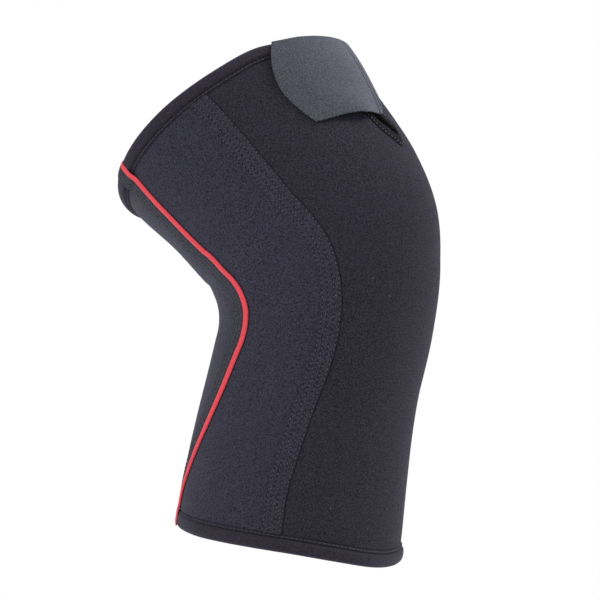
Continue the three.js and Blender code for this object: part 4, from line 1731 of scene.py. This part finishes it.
@dataclass
class ClosureFlap:
    """The grey flap, sewn down beside the slit's left lip and laid over to the right."""

    shop: Workshop
    thickness: float = 1.4
    lift: float = 3.5
    inset: float = 1.0
    over_binding: float = 1.0
    over_hem: tuple[float, float] = (0.9, 2.0)
    on_panel: float = 0.35
    # shares across between which it comes down from the binding to the panel
    coming_down: tuple[float, float] = (0.72, 0.90)
    # hem heights below the rim between which it climbs the hem
    climb: tuple[float, float] = (4.5, 1.1)
    # the arch's start and width as shares across, and its end as a share up
    arch_start: float = 0.04
    arch_width: float = 0.78
    arch_end: float = 0.42
    # the flap's rough size, which places the rows at its edges
    size: float = 62.0
    # the radius by which the edges roll in, and the depth and width of the shade beside them
    edge_radius: float = 0.45
    edge_shade: tuple[float, float] = (0.3, 0.3)
    # a seam line: its width, its depth, its shade and how deep its stitches lie
    seam_width: float = 0.5
    seam_depth: float = 0.35
    seam_shade: float = 0.8
    sunk: float = 0.28
    # the gap between the seam lines, and the shares along the thigh between which it widens
    seam_gap: tuple[float, float] = (3.4, 4.5)
    widening: tuple[float, float] = (0.6, 1.0)
    # the length from the sewn edge that stays without stitches
    bare_edge: float = 1.0
    divisions: int = 120
    sewn_side: Rows = ((0.38, 3), (0.55, -6.5), (0.72, -12.5), (0.92, -17), (1.10, -18.5))
    free_side: Rows = (
        (0.38, 37.5), (0.48, 40.3), (0.55, 42.7), (0.63, 44.5), (0.71, 45), (0.82, 42.3),
        (0.89, 38.6), (0.95, 34.6), (1.05, 27.5),
    )
    seam_line: Rows = ((0.38, 4.4), (0.566, -1.8), (0.70, -5.0), (0.88, -7.5), (1.05, -9.0))
    lower_edge: Rows = (
        (0, 0.418), (0.22, 0.419), (0.36, 0.416), (0.5, 0.428), (0.68, 0.449), (0.84, 0.463),
        (1, 0.478),
    )

    def places(self, across: Array, up: Array) -> tuple[Array, Array]:
        """Spreads the flap between its sewn side, its free side and its ends.

        Args:
            across: shares from the sewn side to the free one.
            up: shares from the lower edge to the upper one.

        Returns:
            Ways and angles of the grid.
        """
        form = self.shop.form
        sewn, free, lower = (
            Curve(rows) for rows in (self.sewn_side, self.free_side, self.lower_edge)
        )
        a, b = np.broadcast_arrays(across, up)
        foot = lower(a) * form.thigh_length
        s = lerp(foot, form.thigh_length, b)
        for _ in range(PASSES):
            angle = lerp(sewn(form.along(s)), free(form.along(s)), a)
            s = lerp(foot, form.thigh_rim(angle) - self.inset, b)
        return s, angle

    def underside(self, a: Array, b: Array, s: Array, angle: Array) -> Array:
        """Gives the height under the flap: on the binding, the panel and the hem, and arched.

        The arch is a squared half sine wave across, which dies away on the way up.

        Args:
            a: shares from the sewn side to the free one.
            b: shares from the lower edge to the upper one.
            s: ways along the sleeve.
            angle: angles round it.

        Returns:
            Heights above the outer face.
        """
        form = self.shop.form
        seat = lerp(self.over_binding, self.on_panel, smoothstep(a, *self.coming_down))
        climb = falling((form.thigh_rim(angle) - s) / form.hem_height, *self.climb)
        arch = np.sin(math.pi * np.clip((a - self.arch_start) / self.arch_width, 0, 1)) ** 2
        seat = seat + lerp(*self.over_hem, a) * climb
        return seat + self.lift * arch * (1 - smoothstep(b, 0, self.arch_end))

    def build(self) -> None:
        """Makes the flap and the stitches of its sewn side."""
        form = self.shop.form
        shares = edged(self.divisions, self.size)
        a, b = np.broadcast_arrays(shares[None, :], shares[:, None])
        s, angle = self.places(a, b)
        scale = form.per_degree(s, angle)
        from_sewn = (angle - angle[:, [0]]) * scale
        measured = spread(form.skin(s, angle))
        from_ends = np.minimum(measured[..., 1], measured[-1:, :, 1] - measured[..., 1])
        from_free = (angle[:, [-1]] - angle) * scale
        edge = np.minimum(np.minimum(from_sewn, from_free), from_ends)
        sewn = sum(
            bell((angle - self.seam_angle(s, number)) * scale, self.seam_width)
            for number in range(2)
        )
        top = self.underside(a, b, s, angle) + self.thickness
        base = top - rolled(edge, self.edge_radius)
        height = base - self.seam_depth * sewn
        deep, wide = self.edge_shade
        beside = deep * bell(np.maximum(edge, 0), wide)
        shade = np.clip(self.seam_shade * sewn + beside, 0, 1)
        piece = sheet_plan(form.skin(s, angle, height), measured, shade).build(
            "closure_flap_fabric"
        )
        self.shop.thicken(piece, self.thickness - 0.3)
        self.shop.dress(piece, "flap", "flap_fabric", "closure_flap")
        self.stitches(from_sewn, s, angle, base)

    def seam_angle(self, s: Array, number: int) -> Array:
        """Gives the angle of a seam line at each way.

        Args:
            s: ways along the sleeve.
            number: 0 for the first line and 1 for the second.

        Returns:
            Angles in degrees.
        """
        form = self.shop.form
        along = form.along(s)
        first = Curve(self.seam_line)(along)
        apart = lerp(*self.seam_gap, smoothstep(along, *self.widening))
        return form.turned(s, first, -apart * number)

    def stitches(self, from_sewn: Array, s: Array, angle: Array, height: Array) -> None:
        """Sews the flap down along its two seam lines, wherever they lie on it.

        Args:
            from_sewn: distances from the sewn edge.
            s: ways of the flap's points.
            angle: angles of the flap's points.
            height: heights of the flap's top without its seam lines.
        """
        form = self.shop.form
        line = SewnLine(form, pitch=2.4, length=1.7, thread=Thread(radius=0.13, rise=0.13))
        plans = []
        rows = np.arange(len(s))
        for number in range(2):
            column = np.abs(angle - self.seam_angle(s, number)).argmin(axis=1)
            on_flap = from_sewn[rows, column] > self.bare_edge
            way, base = s[rows, column][on_flap], height[rows, column][on_flap]
            plans.append(line.plan(way, self.seam_angle(way, number), base - self.sunk))
        sewn = plans[0].joined(plans[1]).build("closure_flap_stitches")
        self.shop.dress(sewn, "dark_thread", "flap_fabric")


@dataclass(frozen=True)
class Studio:
    """The plain floor, the soft lights and the camera of the photograph's view."""

    azimuth: float = 33.0
    elevation: float = -3.0
    distance: float = 2.0
    mm_per_pixel: float = 0.58
    picture: int = 600
    origin_pixel: tuple[float, float] = (329.5, 283.0)
    sensor: float = 36.0
    floor_level: float = -0.42
    floor_radius: float = 3.0
    floor_sides: int = 96
    paper: float = 0.93
    world: float = 1.0
    # each light's name, place in metres, side in metres and power in watts
    lights: tuple[tuple[str, tuple[float, float, float], float, float], ...] = (
        ("left", (-1.0, -2.1, 1.3), 1.4, 25.0),
        ("top_right", (1.35, 0.7, 2.0), 1.2, 50.0),
        ("front", (0.9, -2.4, 0.6), 1.6, 6.0),
    )

    def build(self) -> None:
        """Makes the floor, the world, the lights and the camera."""
        self.make_floor()
        self.make_world()
        for light in self.lights:
            self.make_light(*light)
        self.make_camera()

    def make_floor(self) -> None:
        """Makes a wide pale disc under the sleeve."""
        turn = np.linspace(0, math.tau, self.floor_sides + 1)[:-1]
        radius, level = self.floor_radius, np.full(self.floor_sides, self.floor_level)
        rim = np.stack([radius * np.cos(turn), radius * np.sin(turn), level], -1)
        mesh = bpy.data.meshes.new("floor")
        mesh.from_pydata(rim.tolist(), [], [list(range(self.floor_sides))])
        floor = bpy.data.objects.new("floor", mesh)
        bpy.context.scene.collection.objects.link(floor)
        paper = bpy.data.materials.new("studio_paper")
        paper.use_nodes = True
        shader = paper.node_tree.nodes["Principled BSDF"]
        shader.inputs["Base Color"].default_value = (self.paper, self.paper, self.paper, 1)
        shader.inputs["Roughness"].default_value = 0.9
        shader.inputs["Specular IOR Level"].default_value = 0.1
        mesh.materials.append(paper)

    def make_world(self) -> None:
        """Makes an even white surround."""
        world = bpy.data.worlds.new("white_studio")
        world.use_nodes = True
        back = world.node_tree.nodes["Background"]
        back.inputs["Color"].default_value = (1.0, 1.0, 1.0, 1)
        back.inputs["Strength"].default_value = self.world
        bpy.context.scene.world = world

    @staticmethod
    def make_light(name: str, place: tuple[float, ...], size: float, power: float) -> None:
        """Makes a soft square light that faces the knee.

        Args:
            name: the light's name.
            place: where it stands, in metres.
            size: its side in metres.
            power: its power in watts.
        """
        data = bpy.data.lights.new(name, "AREA")
        data.size = size
        data.energy = power
        light = bpy.data.objects.new(name, data)
        light.location = place
        light.rotation_euler = Vector(place).to_track_quat("Z", "Y").to_euler()
        bpy.context.scene.collection.objects.link(light)

    def make_camera(self) -> None:
        """Makes the camera: it looks at the origin, shifted as the photograph is framed."""
        azimuth, elevation = math.radians(self.azimuth), math.radians(self.elevation)
        away = Vector(
            (
                math.sin(azimuth) * math.cos(elevation),
                -math.cos(azimuth) * math.cos(elevation),
                math.sin(elevation),
            )
        )
        data = bpy.data.cameras.new("camera")
        data.sensor_width = self.sensor
        view_width = self.picture * self.mm_per_pixel * MM
        data.lens = self.sensor * self.distance / view_width
        data.shift_x = (self.picture / 2 - self.origin_pixel[0]) / self.picture
        data.shift_y = (self.origin_pixel[1] - self.picture / 2) / self.picture
        camera = bpy.data.objects.new("camera", data)
        camera.location = away * self.distance
        camera.rotation_euler = away.to_track_quat("Z", "Y").to_euler()
        bpy.context.scene.collection.objects.link(camera)
        bpy.context.scene.camera = camera


THREAD = Fabric(
    "grey_thread", (53, 54, 60), weave=Weave.RIB, speckle=0.3, lint=0.0, relief=0.03,
    roughness=0.6, specular=0.2,
)
FINISHES: dict[str, Fabric] = {
    "front": Fabric("stretch_fabric", (30, 28, 38), sheen=0.07),
    "side": Fabric("side_fabric", (35, 34, 45)),
    "back": Fabric("back_fabric", (37, 36, 46), sheen=0.14),
    "hem": Fabric("hem_fabric", (32, 29, 39), pitch=0.7, speckle=0.5, lint=0.15),
    "band": Fabric("seam_band_fabric", (37, 36, 47)),
    "binding": Fabric(
        "binding_tape", (15, 14, 18), weave=Weave.RIB, pitch=0.7, speckle=0.5, specular=0.08,
        sheen=0.05,
    ),
    "lining": Fabric("lining_jersey", (22, 22, 26), lint=0.0, sheen=0.08),
    "piping": Fabric(
        "red_piping", (183, 42, 55), weave=Weave.RIB, pitch=0.55, speckle=0.1, lint=0.0,
        relief=0.06, groove=0.6, roughness=0.55, specular=0.3, sheen=0.15,
        sheen_tint=(255, 190, 190),
    ),
    "seam_threads": Fabric("flat_seam_threads", (42, 42, 49), roughness=0.8, lint=0.1),
    "flap": Fabric(
        "flap_twill", (46, 48, 58), weave=Weave.TWILL, pitch=1.1, speckle=0.5, lint=0.1,
        relief=0.16, roughness=0.6, specular=0.22, sheen=0.4, sheen_roughness=0.35,
    ),
    "dark_thread": replace(THREAD, name="dark_thread", colour=(34, 34, 40), speckle=0.2),
    "hem_thread": replace(THREAD, name="hem_thread", colour=(51, 50, 61), specular=0.25),
    "grey_thread": THREAD,
    "light_thread": replace(
        THREAD, name="light_thread", colour=(64, 64, 74), roughness=0.55, specular=0.3
    ),
}


def main() -> None:
    """Loads the frame, builds each sub-assembly in order and logs how many pieces it made."""
    logging.basicConfig(level=logging.INFO, format="%(name)s %(message)s")
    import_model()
    bpy.context.scene.view_settings.view_transform = "Standard"
    form = SleeveForm()
    shaders = Shaders()
    finishes = {name: finish.build(shaders) for name, finish in FINISHES.items()}
    shop = Workshop(form, Slit(form), finishes)
    Studio().build()
    front_band = CoverBand(
        shop, "seam_band", "seam_tape", "band", "light_thread", form.front_seam,
        gap=0.3, width=12.0, stitch_rows=(1.0, 4.5, 7.9, 11.0),
    )
    back_band = CoverBand(
        shop, "back_seam", "back_seam_thread", "seam_threads", "grey_thread", form.back_seam,
        gap=1.5, width=10.5, stitch_rows=(3.4, 6.2, 9.0, 11.2), over_hems=True,
        hole=0.15, hole_shade=0.45, reach=0.42, radius=0.18,
    )
    for part in (
        Panels(shop), Hems(shop), front_band, back_band, Piping(shop), SlitBinding(shop),
        ClosureFlap(shop),
    ):
        part.build()
        LOG.info("%s done", type(part).__name__)
    LOG.info("%d pieces", len(shop.made))


if __name__ == "__main__":
    main()
